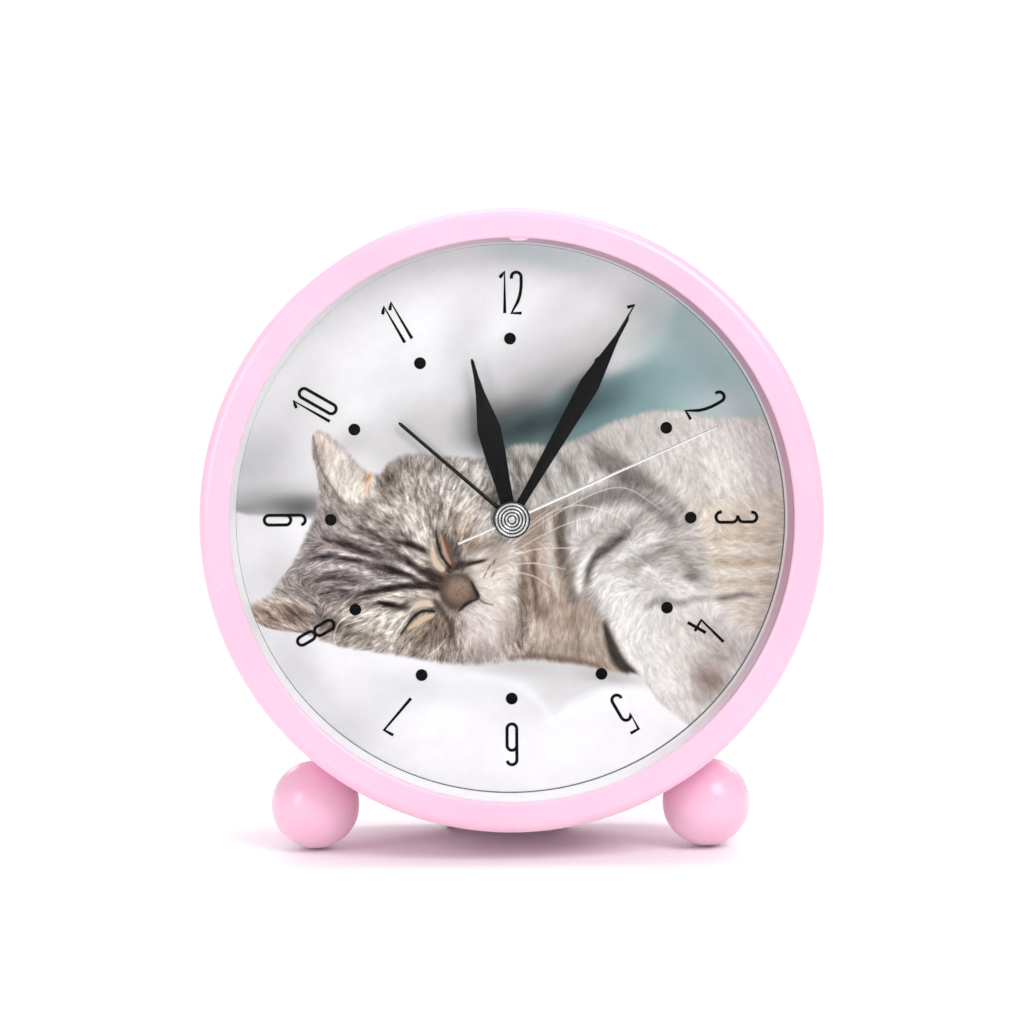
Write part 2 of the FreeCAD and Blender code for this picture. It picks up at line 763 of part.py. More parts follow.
def make_hour_wheel():
    y0, y1 = hour_wheel_y
    wheel = gear(40, hour_module, y0, y1, hour_tube[1], (0, 0), hour_wheel_phase)
    tube = ring(hour_tube[0], hour_tube[1], hour_hand_y[0], hour_wheel_y[1])
    return fused([wheel, tube])


def make_cannon_pinion():
    pinion = gear(12, motion_module, 7.2, 9.0, cannon_tube[1], (0, 0), cannon_phase)
    tube = ring(cannon_tube[0], cannon_tube[1], minute_hand_y[0], 7.5)
    return fused([pinion, tube]).cut(cylinder(clutch_tube[0] + 0.06, 7.4, 10))


def make_minute_wheel():
    at = minute_wheel_at
    wheel = gear(36, motion_module, motion_wheel_y[0], motion_wheel_y[1], 0, at, minute_wheel_phase)
    pinion = gear(10, hour_module, 5.6, 7.5, 0, at, minute_pinion_phase)
    hub = cylinder(1.3, 7.4, 7.7, at)
    windows = spoke_windows(3.0, 6.0, 7, 9, at, 5)
    return cut(fused([cut(wheel, windows), pinion, hub]), [cylinder(0.66, 0, 20, at)])


def make_set_pinion(at, level, phase):
    teeth = gear(12, motion_module, level[0], level[1], 0, at, phase)
    shaft = cylinder(set_shaft_radius, 3.85, 31.0, at)
    return fused([teeth, shaft])


def make_centre_wheel():
    y0, y1 = centre_wheel_y
    wheel = gear(64, centre_module, y0, y1, clutch_tube[1], (0, 0), centre_wheel_phase)
    tube = ring(clutch_tube[0], clutch_tube[1], 7.6, centre_wheel_y[1])
    return fused([cut(wheel, spoke_windows(3.2, 6.8, 9, 11, (0, 0), 5)), tube])


def make_clutch_washer():
    washer = ring(2.6, clutch_tube[0] + 0.02, 9.06, 9.28)
    return cut(washer, [cylinder(0.45, 8, 10, polar(2.5, 120.0 * k)) for k in range(3)])


def make_third_wheel():
    wheel = gear(60, third_module, third_wheel_y[0], third_wheel_y[1], 0, third_at, third_wheel_phase)
    pinion = gear(8, centre_module, 9.1, third_wheel_y[0] + 0.1, 0, third_at, third_pinion_phase)
    arbor = cylinder(0.37, 3.85, 18.9, third_at)
    windows = spoke_windows(2.2, 6.4, 10, 12, third_at, 5)
    return fused([cut(wheel, windows), pinion, arbor])


def make_second_wheel():
    wheel = gear(50, seconds_module, second_wheel_y[0], second_wheel_y[1], 0, (0, 0), second_wheel_phase)
    hub = cylinder(0.9, second_wheel_y[1] - 0.1, 15.0)
    bored = fused([cut(wheel, spoke_windows(2.0, 5.2, 12, 14, (0, 0), 5)), hub])
    return bored.cut(cylinder(arbor_radius, 0, clear_y))


def make_second_pinion():
    y0, y1 = third_wheel_y[0] - 0.2, third_wheel_y[1] + 0.1
    return gear(8, third_module, y0, y1, arbor_radius, (0, 0), second_pinion_phase)


def make_second_arbor():
    return cylinder(arbor_radius, second_hand_y[0], 18.9)


def make_step_wheel():
    wheel = gear(48, seconds_module, step_wheel_y[0], step_wheel_y[1], 0, step_at, step_wheel_phase)
    pinion = gear(10, seconds_module, 12.35, step_wheel_y[0] + 0.1, 0, step_at, step_pinion_phase)
    arbor = cylinder(0.32, 11.8, 18.9, step_at)
    return fused([wheel, pinion, arbor])


def make_rotor_pinion():
    pinion = gear(8, seconds_module, 13.4, 14.5, 0, rotor_at, rotor_pinion_phase)
    arbor = cylinder(0.4, 12.35, 18.9, rotor_at)
    return fused([pinion, arbor])


def make_rotor_magnet():
    return ring(3.1, 0.42, 14.7, 17.2, rotor_at)


def make_knob(at):
    body = cylinder(knob_radius, knob_y[0], knob_y[1], at)
    rim = [e for e in body.Edges if e.Length > 30 and e.CenterOfMass.y > knob_y[1] - 0.1]
    body = body.makeFillet(0.8, rim)
    flutes = [cylinder(0.5, knob_y[0] + 1.0, 40, polar(knob_radius + 0.15, 360.0 * k / knob_flutes, at))
              for k in range(knob_flutes)]
    neck = cylinder(knob_neck_radius, rear_wall_y[1] + 0.2, knob_y[0] + 0.5, at)
    bore = cylinder(set_shaft_radius, 0, 31.0, at)
    dish = cylinder(4.6, knob_y[1] - 0.5, 40, at)
    return cut(fused([cut(body, flutes + [dish]), neck]), [bore])


pieces = {
    "bezel": make_bezel(),
    "lens": make_lens(),
    "dial_ring": make_dial_ring(),
    "dial": make_dial(),
    "dial_plate": make_dial_plate(),
    "case_shell": make_shell(),
    "foot_left": make_foot(-1),
    "foot_right": make_foot(1),
    "foot_screws": make_foot_screws(),
    "heel_pad": make_heel(),
    "back_cover": make_back_cover(),
    "back_cover_screws": make_cover_screws(),
    "battery_tray": make_tray(),
    "battery": make_battery(),
    "battery_spring": make_spring_contact(),
    "battery_contact": make_plate_contact(),
    "battery_door": make_door(),
    "movement_front_plate": make_front_plate(),
    "movement_nut": make_collar_nut(),
    "movement_mid_plate": make_mid_plate(),
    "movement_rear_cover": make_rear_cover(),
    "movement_screws": make_movement_screws(),
    "stator": make_stator(),
    "coil_core": make_core(),
    "coil_bobbin": make_bobbin(),
    "coil_winding": make_winding(),
    "circuit_board": make_circuit_board(),
    "circuit_chip": make_chip(),
    "quartz_crystal": make_crystal(),
    "buzzer_ring": make_buzzer_ring(),
    "buzzer_disc": make_buzzer_disc(),
    "alarm_contact": make_alarm_contact(),
    "switch_base": make_switch_contact(),
    "switch_spring": make_switch_spring(),
    "alarm_switch": make_switch_slider(),
    "hour_hand": make_hour_hand(),
    "minute_hand": make_minute_hand(),
    "alarm_hand": make_alarm_hand(),
    "second_hand": make_second_hand(),
    "second_hand_cap": make_second_cap(),
    "alarm_wheel": make_alarm_wheel(),
    "hour_wheel": make_hour_wheel(),
    "cannon_pinion": make_cannon_pinion(),
    "minute_wheel": make_minute_wheel(),
    "time_set_pinion": make_set_pinion(time_set_at, (7.4, 8.8), time_set_phase),
    "alarm_set_pinion": make_set_pinion(alarm_set_at, (4.0, 5.4), alarm_set_phase),
    "centre_wheel": make_centre_wheel(),
    "clutch_washer": make_clutch_washer(),
    "third_wheel": make_third_wheel(),
    "second_wheel": make_second_wheel(),
    "second_pinion": make_second_pinion(),
    "second_arbor": make_second_arbor(),
    "step_wheel": make_step_wheel(),
    "rotor_pinion": make_rotor_pinion(),
    "rotor_magnet": make_rotor_magnet(),
    "time_set_knob": make_knob(time_set_at),
    "alarm_set_knob": make_knob(alarm_set_at),
}

os.makedirs("parts", exist_ok=True)
for name, shape in pieces.items():
    stand_up(shape).exportStep("parts/" + name + ".step")
print(len(pieces), "nodes; depth", round(rear_reach - front_reach, 2), "axis height", round(axis_height, 2))
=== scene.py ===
import bpy
import math
import numpy as np
from mathutils import Matrix, Vector
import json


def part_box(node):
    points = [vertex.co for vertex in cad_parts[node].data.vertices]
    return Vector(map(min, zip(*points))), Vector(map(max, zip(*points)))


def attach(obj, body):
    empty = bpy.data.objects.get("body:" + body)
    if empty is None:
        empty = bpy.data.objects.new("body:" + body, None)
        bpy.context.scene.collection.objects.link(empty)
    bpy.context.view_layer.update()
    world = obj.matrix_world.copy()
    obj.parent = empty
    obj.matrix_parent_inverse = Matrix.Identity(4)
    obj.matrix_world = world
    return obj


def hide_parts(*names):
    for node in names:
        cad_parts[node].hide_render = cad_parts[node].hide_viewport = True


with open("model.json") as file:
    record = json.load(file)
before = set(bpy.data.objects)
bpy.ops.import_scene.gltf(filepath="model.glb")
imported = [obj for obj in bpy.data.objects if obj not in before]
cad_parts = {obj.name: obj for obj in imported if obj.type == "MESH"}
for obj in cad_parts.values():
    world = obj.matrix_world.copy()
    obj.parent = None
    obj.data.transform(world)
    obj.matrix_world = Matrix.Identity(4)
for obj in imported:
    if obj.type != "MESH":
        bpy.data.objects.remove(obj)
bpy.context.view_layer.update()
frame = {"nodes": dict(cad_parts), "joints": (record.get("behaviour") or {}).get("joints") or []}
bpy.ops.object.select_all(action="DESELECT")
print("frame loaded:", len(frame["nodes"]), "nodes")

mm = 0.001
handJoint = next(joint for joint in frame["joints"] if joint["name"] == "second_hand")
hub = Vector(handJoint["pos_m"])
leanAngle = math.atan2(-handJoint["axis"][2], handJoint["axis"][1])
# pieces are shaped with the dial upright at y = 0, its centre at the origin, then leaned back with the clock
dialPlace = Matrix.Translation(hub) @ Matrix.Rotation(-leanAngle, 4, "X")
inwards = dialPlace.to_3x3() @ Vector((0, 1, 0))


def finishTree(name):
    material = bpy.data.materials.new(name)
    material.use_nodes = True
    return material, material.node_tree, material.node_tree.nodes["Principled BSDF"]


def setInputs(tree, node, values, feeds):   # plain numbers, then the sockets that another node feeds
    for key, value in values.items():
        node.inputs[key].default_value = value
    for key, source in feeds.items():
        tree.links.new(source, node.inputs[key])


def addNode(tree, kind, values=None, feeds=None, **settings):
    node = tree.nodes.new("ShaderNode" + kind)
    for key, value in settings.items():
        setattr(node, key, value)
    setInputs(tree, node, values or {}, feeds or {})
    return node


def placeOn(tree):
    return addNode(tree, "TexCoord").outputs["Object"]


def noiseOn(tree, scale, detail=3.0, stretch=(1, 1, 1)):
    turned = addNode(tree, "Mapping", {"Scale": stretch}, {"Vector": placeOn(tree)})
    look = {"Scale": scale, "Detail": detail}
    return addNode(tree, "TexNoise", look, {"Vector": turned.outputs["Vector"]}).outputs["Fac"]


def rampOn(tree, source, low, high, start=0.35, end=0.65):
    ramp = addNode(tree, "ValToRGB", None, {"Fac": source})
    for stop, place, colour in zip(ramp.color_ramp.elements, (start, end), (low, high)):
        stop.position = place
        stop.color = (*colour, 1)
    return ramp.outputs["Color"]


def spreadOn(tree, source, low, high, start=0.3, end=0.7):
    limits = {"From Min": start, "From Max": end, "To Min": low, "To Max": high}
    return addNode(tree, "MapRange", limits, {"Value": source}).outputs["Result"]


def bumpOn(tree, source, strength, depth):
    look = {"Strength": strength, "Distance": depth}
    return addNode(tree, "Bump", look, {"Height": source}).outputs["Normal"]


def alongOn(tree, direction):   # how far a point lies along a direction
    along = addNode(tree, "VectorMath", {1: direction}, {0: placeOn(tree)}, operation="DOT_PRODUCT")
    return along.outputs["Value"]


# plastic or rubber
def mouldedFinish(name, deep, pale, gloss, grain, coat=0.0, soft=0.0, shine=0.5, sheen=0.0):
    material, tree, surface = finishTree(name)
    fine = noiseOn(tree, grain["scale"], 2.0)
    setInputs(tree, surface, {
        "Specular IOR Level": shine, "Coat Weight": coat, "Coat Roughness": 0.14,
        "Sheen Weight": sheen, "Sheen Roughness": 0.35,
        "Subsurface Weight": soft, "Subsurface Radius": (0.004, 0.0025, 0.003), "Subsurface Scale": 1.0,
    }, {
        "Base Color": rampOn(tree, noiseOn(tree, 45.0, 2.0), deep, pale),
        "Roughness": spreadOn(tree, fine, gloss - 0.03, gloss + 0.03),
        "Normal": bumpOn(tree, fine, grain["strength"], 0.02 * mm),
    })
    return material


def metalFinish(name, dark, light, gloss, scratches, stretch=(1, 1, 1)):   # plated, rolled or brushed metal
    material, tree, surface = finishTree(name)
    lines = noiseOn(tree, scratches, 4.0, stretch)
    setInputs(tree, surface, {"Metallic": 1.0}, {
        "Base Color": rampOn(tree, lines, dark, light),
        "Roughness": spreadOn(tree, lines, gloss, gloss + 0.14),
        "Normal": bumpOn(tree, lines, 0.25, 0.01 * mm),
    })
    return material


def windingFinish():   # fine enamelled wire laid side by side along the bobbin
    material, tree, surface = finishTree("woundCopper")
    wave = {"Scale": 1600.0, "Distortion": 0.6}
    wire = addNode(tree, "TexWave", wave, {"Vector": placeOn(tree)}, bands_direction="X").outputs["Fac"]
    setInputs(tree, surface, {"Metallic": 0.85, "Roughness": 0.34}, {
        "Base Color": rampOn(tree, wire, (0.20, 0.05, 0.02), (0.66, 0.24, 0.10)),
        "Normal": bumpOn(tree, wire, 0.8, 0.05 * mm),
    })
    return material


def batteryFinish():   # dark printed can with a pale band at the plus end
    material, tree, surface = finishTree("batteryWrap")
    low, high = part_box("battery")
    bandStart = high[0] - 0.28 * (high[0] - low[0])
    band = spreadOn(tree, alongOn(tree, (1, 0, 0)), 0.0, 1.0, bandStart, bandStart + 0.2 * mm)
    setInputs(tree, surface, {"Metallic": 0.7}, {
        "Base Color": rampOn(tree, band, (0.05, 0.09, 0.12), (0.62, 0.50, 0.30), 0.4, 0.6),
        "Roughness": spreadOn(tree, noiseOn(tree, 260.0, 4.0, (0.3, 1, 1)), 0.22, 0.4),
    })
    return material


def lensFinish():   # thin clear moulding: what is behind shows straight through, and the lamps glint on it
    material, tree, surface = finishTree("clearLens")
    tree.nodes.remove(surface)
    haze = spreadOn(tree, noiseOn(tree, 60.0, 2.0), 0.02, 0.06)
    shine = addNode(tree, "BsdfGlossy", None, {"Roughness": haze}).outputs["BSDF"]
    through = addNode(tree, "BsdfTransparent").outputs["BSDF"]
    edge = addNode(tree, "Fresnel", {"IOR": 1.11}).outputs["Fac"]
    mixed = addNode(tree, "MixShader", None, {"Fac": edge, 1: through, 2: shine})
    tree.links.new(mixed.outputs["Shader"], tree.nodes["Material Output"].inputs["Surface"])
    return material


def printFinish():   # the dial's picture, painted on the piece, under a faint paper tooth
    material, tree, surface = finishTree("dialPicture")
    colour = addNode(tree, "Attribute", attribute_name="printColour").outputs["Color"]
    tooth = noiseOn(tree, 5200.0, 2.0)
    toothShade = rampOn(tree, tooth, (0.83, 0.83, 0.83), (0.88, 0.88, 0.88))
    blend = addNode(tree, "Mix", None, None, data_type="RGBA", blend_type="MULTIPLY")
    setInputs(tree, blend, {"Factor": 1.0}, {"A": colour, "B": toothShade})
    setInputs(tree, surface, {"Specular IOR Level": 0.12}, {
        "Base Color": blend.outputs["Result"],
        "Roughness": spreadOn(tree, tooth, 0.5, 0.62),
    })
    return material


def revealFinish():   # wall between window and dial: painted shade makes it a deeper mauve at its upper right, and the painted shade fades out so it stays pale beside the dial
    material, tree, surface = finishTree("revealPaintedShade")
    upRight = Vector((0.82, 0, 0.57))
    middle = hub[2] * upRight[2]
    # painted shade: how far a point lies towards the upper right, where the wall would stand in shadow
    side = spreadOn(tree, alongOn(tree, upRight), 0.0, 1.0, middle - 0.012, middle + 0.036)
    dialDepth = hub.dot(inwards)
    # the painted shade fades out towards the dial
    lip = spreadOn(tree, alongOn(tree, inwards), 1.0, 0.25, dialDepth - 2.4 * mm, dialDepth - 1.4 * mm)
    paintedShade = addNode(tree, "Math", None, {0: side, 1: lip}, operation="MULTIPLY").outputs["Value"]
    setInputs(tree, surface, {"Specular IOR Level": 0.15}, {
        "Base Color": rampOn(tree, paintedShade, (0.95, 0.95, 0.97), (0.60, 0.36, 0.47), 0.0, 1.0),
        "Roughness": spreadOn(tree, noiseOn(tree, 60.0, 2.0), 0.4, 0.44),
    })
    return material


def capFinish(grooveFrom, grooveTo):   # turned metal, with painted shade darkening the bottom of its grooves
    material, tree, surface = finishTree("turnedSilverGrooveShade")
    dialDepth = hub.dot(inwards)
    start, end = dialDepth + grooveFrom * mm, dialDepth + grooveTo * mm
    # painted shade: the deeper into a groove, the darker the colour
    depth = spreadOn(tree, alongOn(tree, inwards), 0.0, 1.0, start, end)
    setInputs(tree, surface, {"Metallic": 1.0}, {
        "Base Color": rampOn(tree, depth, (0.88, 0.88, 0.89), (0.07, 0.07, 0.075), 0.1, 0.8),
        "Roughness": spreadOn(tree, noiseOn(tree, 300.0, 2.0), 0.2, 0.26),
    })
    return material


plainGrain = {"scale": 900.0, "strength": 0.05}
mattGrain = {"scale": 2400.0, "strength": 0.35}
finishes = {
    "pink_plastic": mouldedFinish("glossPink", (0.86, 0.485, 0.635), (0.89, 0.52, 0.67), 0.3, plainGrain,
                                  coat=0.22, soft=0.12, sheen=0.35),
    "clear_lens": lensFinish(),
    "printed_dial": printFinish(),
    "white_plastic": mouldedFinish("satinWhite", (0.80, 0.80, 0.79), (0.84, 0.84, 0.835), 0.42, mattGrain),
    "knob_plastic": mouldedFinish("knobWhite", (0.80, 0.80, 0.81), (0.85, 0.85, 0.86), 0.28, mattGrain,
                                  coat=0.15),
    "black_plastic": mouldedFinish("mattBlack", (0.016, 0.016, 0.018), (0.03, 0.03, 0.032), 0.5, mattGrain),
    "gear_plastic": mouldedFinish("acetal", (0.72, 0.70, 0.62), (0.80, 0.78, 0.71), 0.38, plainGrain),
    "black_hand": mouldedFinish("handBlack", (0.003, 0.003, 0.003), (0.007, 0.007, 0.008), 0.33, mattGrain,
                                shine=0.12),
    "silver_hand": metalFinish("brightSilver", (0.80, 0.80, 0.81), (0.90, 0.90, 0.91), 0.24, 240.0),
    "steel": metalFinish("platedSteel", (0.52, 0.52, 0.54), (0.68, 0.68, 0.70), 0.22, 600.0, (1, 0.2, 1)),
    "iron": metalFinish("dullIron", (0.28, 0.28, 0.30), (0.42, 0.42, 0.44), 0.38, 900.0),
    "magnet": metalFinish("darkMagnet", (0.06, 0.06, 0.065), (0.13, 0.13, 0.14), 0.45, 1100.0),
    "brass": metalFinish("rolledBrass", (0.62, 0.43, 0.16), (0.80, 0.60, 0.27), 0.24, 800.0, (0.3, 1, 1)),
    "copper": windingFinish(),
    "board": mouldedFinish("boardGreen", (0.01, 0.13, 0.05), (0.02, 0.19, 0.08), 0.25, mattGrain, coat=0.3),
    "chip": mouldedFinish("chipResin", (0.012, 0.012, 0.012), (0.03, 0.03, 0.03), 0.45, mattGrain),
    "crystal_can": metalFinish("crystalCan", (0.66, 0.66, 0.68), (0.82, 0.82, 0.84), 0.14, 500, (1, 1, 0.2)),
    "battery_can": batteryFinish(),
    "heel_rubber": mouldedFinish("heelRubber", (0.74, 0.56, 0.63), (0.80, 0.62, 0.69), 0.62, mattGrain),
}
inkFinish = mouldedFinish("dialInk", (0.002,) * 3, (0.005,) * 3, 0.42, mattGrain, shine=0.06)
# painted shadow: a dark ring stands for the shadow in the gap at the dial's edge
gapShadowFinish = mouldedFinish("paintedGapShadow", (0.10, 0.105, 0.11), (0.15, 0.155, 0.16), 0.5, mattGrain, shine=0.1)

for node in frame["nodes"].values():
    for holder in node.material_slots:
        slotName = holder.material.name.split(".")[0]
        holder.material = finishes[slotName]
print("finishes on", len(frame["nodes"]), "nodes")


def settle(piece, name, body, slot, node=None, material=None):   # puts a shaped piece into the leaning clock
    piece.data.transform(dialPlace @ piece.matrix_world)
    piece.matrix_world = Matrix.Identity(4)
    piece.name = piece.data.name = name
    piece.data.materials.clear()
    piece.data.materials.append(material or finishes[slot])
    piece.select_set(False)
    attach(piece, body)
    if node:
        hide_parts(node)


def pickOnly(piece):
    bpy.ops.object.select_all(action="DESELECT")
    piece.select_set(True)
    bpy.context.view_layer.objects.active = piece


def smoothed(piece, corner):   # smooth shading, with edges sharper than this many degrees kept
    pickOnly(piece)
    bpy.ops.object.shade_smooth_by_angle(angle=math.radians(corner))
    return piece


def editAll():   # into edit mode with everything selected
    bpy.ops.object.mode_set(mode="EDIT")
    bpy.ops.mesh.select_all(action="SELECT")


def turnedOutwards():   # faces made to point outwards, and back to object mode
    bpy.ops.mesh.select_all(action="SELECT")
    bpy.ops.mesh.normals_make_consistent(inside=False)
    bpy.ops.object.mode_set(mode="OBJECT")


def roundedLoop(corners, steps=7):   # a closed outline through (a, b, rounding), with arcs at its corners
    loop = []
    for i, (a, b, radius) in enumerate(corners):
        here = Vector((a, b))
        if radius == 0:
            loop.append(here)
            continue
        before = (Vector(corners[i - 1][:2]) - here).normalized()
        after = (Vector(corners[(i + 1) % len(corners)][:2]) - here).normalized()
        half = before.angle(after) / 2
        middle = here + (before + after).normalized() * radius / math.sin(half)
        start = here + before * radius / math.tan(half) - middle
        turn = start.angle_signed(here + after * radius / math.tan(half) - middle)
        loop += [middle + Matrix.Rotation(-turn * k / steps, 2) @ start for k in range(steps + 1)]
    return loop


# spins an outline of (radius, depth, rounding) about the hands' axis
def turnedPiece(corners, steps=256, corner=30):
    loop = roundedLoop(corners)
    bpy.ops.mesh.primitive_circle_add(vertices=len(loop), radius=1)
    piece = bpy.context.object
    for vertex, (radius, depth) in zip(piece.data.vertices, loop):
        vertex.co = (radius * mm, depth * mm, 0)
    editAll()
    bpy.ops.mesh.spin(steps=steps, angle=2 * math.pi, center=(0, 0, 0), axis=(0, 1, 0))
    bpy.ops.mesh.select_all(action="SELECT")
    bpy.ops.mesh.remove_doubles(threshold=0.002 * mm)
    bpy.ops.mesh.dissolve_degenerate(threshold=0.001 * mm)
    bpy.ops.mesh.delete_loose()
    turnedOutwards()
    return smoothed(piece, corner)


def finishModifier(piece, kind, **settings):
    modifier = piece.modifiers.new(kind.lower(), kind)
    for key, value in settings.items():
        setattr(modifier, key, value)
    bpy.context.view_layer.objects.active = piece
    bpy.ops.object.modifier_apply(modifier=modifier.name)


def joined(pieces):
    pickOnly(pieces[0])
    for piece in pieces:
        piece.select_set(True)
    if len(pieces) > 1:
        bpy.ops.object.join()
    return bpy.context.object


def pressedStroke(points, width, thick, closed=False):   # a line of print or a rib: a tube pressed flat
    curve = bpy.data.curves.new("stroke", "CURVE")
    curve.dimensions = "3D"
    curve.bevel_depth = width / 2 * mm
    curve.bevel_resolution = 3
    curve.use_fill_caps = True
    line = curve.splines.new("POLY")
    line.points.add(len(points) - 1)
    for point, (x, z) in zip(line.points, points):
        point.co = (x * mm, 0, z * mm, 1)
    line.use_cyclic_u = closed
    piece = bpy.data.objects.new("stroke", curve)
    bpy.context.collection.objects.link(piece)
    pickOnly(piece)
    bpy.ops.object.convert(target="MESH")
    piece = bpy.context.object
    piece.data.transform(Matrix.Diagonal((1, thick / width, 1, 1)))
    return piece


def arc(x, z, radiusX, radiusZ, start, end, steps=14):   # degrees from +X towards +Z
    turns = [math.radians(start + (end - start) * k / steps) for k in range(steps + 1)]
    return [(x + radiusX * math.cos(t), z + radiusZ * math.sin(t)) for t in turns]


bezel = {"outer": 55.0, "window": 49.6, "front": -9.0, "back": -3.0, "shoulder": 2.2, "lip": 0.7,
         "heel": 0.5, "skirt": 51.9, "skirtBack": -0.6, "rebate": 51.0, "lensFront": -7.6,
         "lensCorner": 0.2}
ring = turnedPiece([
    (bezel["window"], bezel["front"], bezel["lip"]),
    (bezel["outer"], bezel["front"], bezel["shoulder"]),
    (bezel["outer"], bezel["back"], bezel["heel"]),
    (bezel["skirt"], bezel["back"], 0),
    (bezel["skirt"], bezel["skirtBack"], 0),
    (bezel["rebate"], bezel["skirtBack"], 0),
    (bezel["rebate"], bezel["lensFront"], 0),
    (bezel["window"], bezel["lensFront"], bezel["lensCorner"]),
])
key = {"root": 2.5, "tip": 1.1, "rootReach": 50.0, "reach": 49.05, "front": -8.5, "back": -7.65,
       "aside": 1.4, "round": 0.22}
bpy.ops.mesh.primitive_cube_add(size=1, location=(0, 0, 0))
keyPlate = bpy.context.object
for vertex in keyPlate.data.vertices:   # a small tapered tongue that reaches inwards just right of twelve
    high = vertex.co.z > 0
    wide = key["root"] if high else key["tip"]
    vertex.co = Vector((key["aside"] + math.copysign(wide, vertex.co.x),
                        key["back"] if vertex.co.y > 0 else key["front"],
                        key["rootReach"] if high else key["reach"])) * mm
finishModifier(keyPlate, "BEVEL", width=key["round"] * mm, segments=3)
settle(joined([ring, smoothed(keyPlate, 40)]), "bezelRing", "case", "pink_plastic", "bezel")

drum = {"outer": 54.6, "bore": 52.0, "front": -3.0, "back": 27.0, "frontRound": 0.4, "rearRound": 1.6,
        "boreRound": 0.5, "coverFront": 23.5, "ledge": 49.5, "ledgeThick": 1.5, "plateBack": 2.1}
settle(turnedPiece([
    (drum["bore"], drum["front"], 0),
    (drum["outer"], drum["front"], drum["frontRound"]),
    (drum["outer"], drum["back"], drum["rearRound"]),
    (drum["bore"], drum["back"], drum["boreRound"]),
    (drum["bore"], drum["coverFront"], 0),
    (drum["ledge"], drum["coverFront"], 0),
    (drum["ledge"], drum["coverFront"] - drum["ledgeThick"], 0),
    (drum["bore"], drum["coverFront"] - drum["ledgeThick"], 0),
    (drum["bore"], drum["plateBack"] + drum["ledgeThick"], 0),
    (drum["ledge"], drum["plateBack"] + drum["ledgeThick"], 0),
    (drum["ledge"], drum["plateBack"], 0),
    (drum["bore"], drum["plateBack"], 0),
]), "caseDrum", "case", "pink_plastic", "case_shell")

lens = {"radius": 50.8, "front": -7.6, "back": -6.6, "edge": 0.25}
clearPane = turnedPiece([
    (0, lens["front"], 0),
    (lens["radius"], lens["front"], lens["edge"]),
    (lens["radius"], lens["back"], lens["edge"]),
    (0, lens["back"], 0),
], steps=128)
settle(clearPane, "clearWindow", "case", "clear_lens", "lens")

reveal = {"window": 49.6, "dial": 48.5, "outer": 50.8, "front": -6.6}
sleeve = turnedPiece([
    (reveal["window"], reveal["front"], 0),
    (reveal["outer"], reveal["front"], 0),
    (reveal["outer"], 0, 0),
    (reveal["dial"], 0, 0),
])
settle(sleeve, "revealRing", "case", "pink_plastic", "dial_ring", revealFinish())

# a dark ring painted in as the shadow in the gap at the dial's edge, set a little aside, so that the painted
# shadow shows at the lower right and closes at the upper left
gapShadowLine = {"inner": 48.38, "outer": 48.9, "aside": 0.08, "front": -0.06, "back": -0.01}
gapShadowRing = turnedPiece([
    (gapShadowLine["inner"], gapShadowLine["front"], 0),
    (gapShadowLine["outer"], gapShadowLine["front"], 0),
    (gapShadowLine["outer"], gapShadowLine["back"], 0),
    (gapShadowLine["inner"], gapShadowLine["back"], 0),
])
gapShadowRing.data.transform(Matrix.Translation((-gapShadowLine["aside"] * mm, 0, gapShadowLine["aside"] * mm)))
settle(gapShadowRing, "dialEdgeShadowLine", "case", "printed_dial", None, gapShadowFinish)

feet = {"radius": 7.8, "x": 34.7, "y": 6.0, "z": -50.7, "gap": 0.02, "cutMiddle": 12, "cutLong": 40}
upright = (math.pi / 2, 0, 0)
for side, word in ((-1, "left"), (1, "right")):   # balls hollowed out to fit the drum
    bpy.ops.mesh.primitive_cylinder_add(vertices=256, radius=(drum["outer"] + feet["gap"]) * mm,
                                        depth=feet["cutLong"] * mm, rotation=upright,
                                        location=(0, feet["cutMiddle"] * mm, 0))
    cutter = bpy.context.object
    place = Vector((side * feet["x"], feet["y"], feet["z"])) * mm
    bpy.ops.mesh.primitive_uv_sphere_add(segments=96, ring_count=64, radius=feet["radius"] * mm,
                                         location=place, rotation=upright)
    ball = bpy.context.object
    finishModifier(ball, "BOOLEAN", object=cutter, operation="DIFFERENCE", solver="EXACT")
    bpy.data.objects.remove(cutter)
    settle(smoothed(ball, 30), "ballFoot_" + word, "case", "pink_plastic", "foot_" + word)

knobArrow = {"radius": 8.3, "start": 48, "end": 132, "width": 0.6, "thick": 0.5, "level": 26.0, "barb": 1.7,
             "spread": 38, "places": [(-9.6, 0.0), (16.63, 3.69)]}
for number, (x, z) in enumerate(knobArrow["places"], 1):   # a raised arrow over each setting knob
    sweep = arc(x, z, knobArrow["radius"], knobArrow["radius"], knobArrow["start"], knobArrow["end"])
    tipX, tipZ = sweep[-1]
    strokes = [pressedStroke(sweep, knobArrow["width"], knobArrow["thick"])]
    for side in (-1, 1):
        turn = math.radians(knobArrow["end"] - 90 + side * knobArrow["spread"])
        barbEnd = (tipX + knobArrow["barb"] * math.cos(turn), tipZ + knobArrow["barb"] * math.sin(turn))
        strokes.append(pressedStroke([barbEnd, (tipX, tipZ)], knobArrow["width"], knobArrow["thick"]))
    arrow = smoothed(joined(strokes), 40)
    arrow.data.transform(Matrix.Translation((0, knobArrow["level"] * mm, 0)))
    settle(arrow, "knobArrow_%d" % number, "case", "pink_plastic")
print("case made")

# the dial's picture, painted on a square grid in millimetres
# its clouds are (lump size, strength)
picture = {"half": 50.8, "cells": 1100, "seed": 7, "clouds": ((5.0, 0.012), (1.6, 0.008))}
gridLine = np.linspace(-picture["half"], picture["half"], picture["cells"])
gridX, gridZ = np.meshgrid(gridLine, gridLine)
gridStep = gridLine[1] - gridLine[0]
chance = np.random.default_rng(picture["seed"])


def tint(code):
    return np.array([int(code[k:k + 2], 16) / 255 for k in (0, 2, 4)])


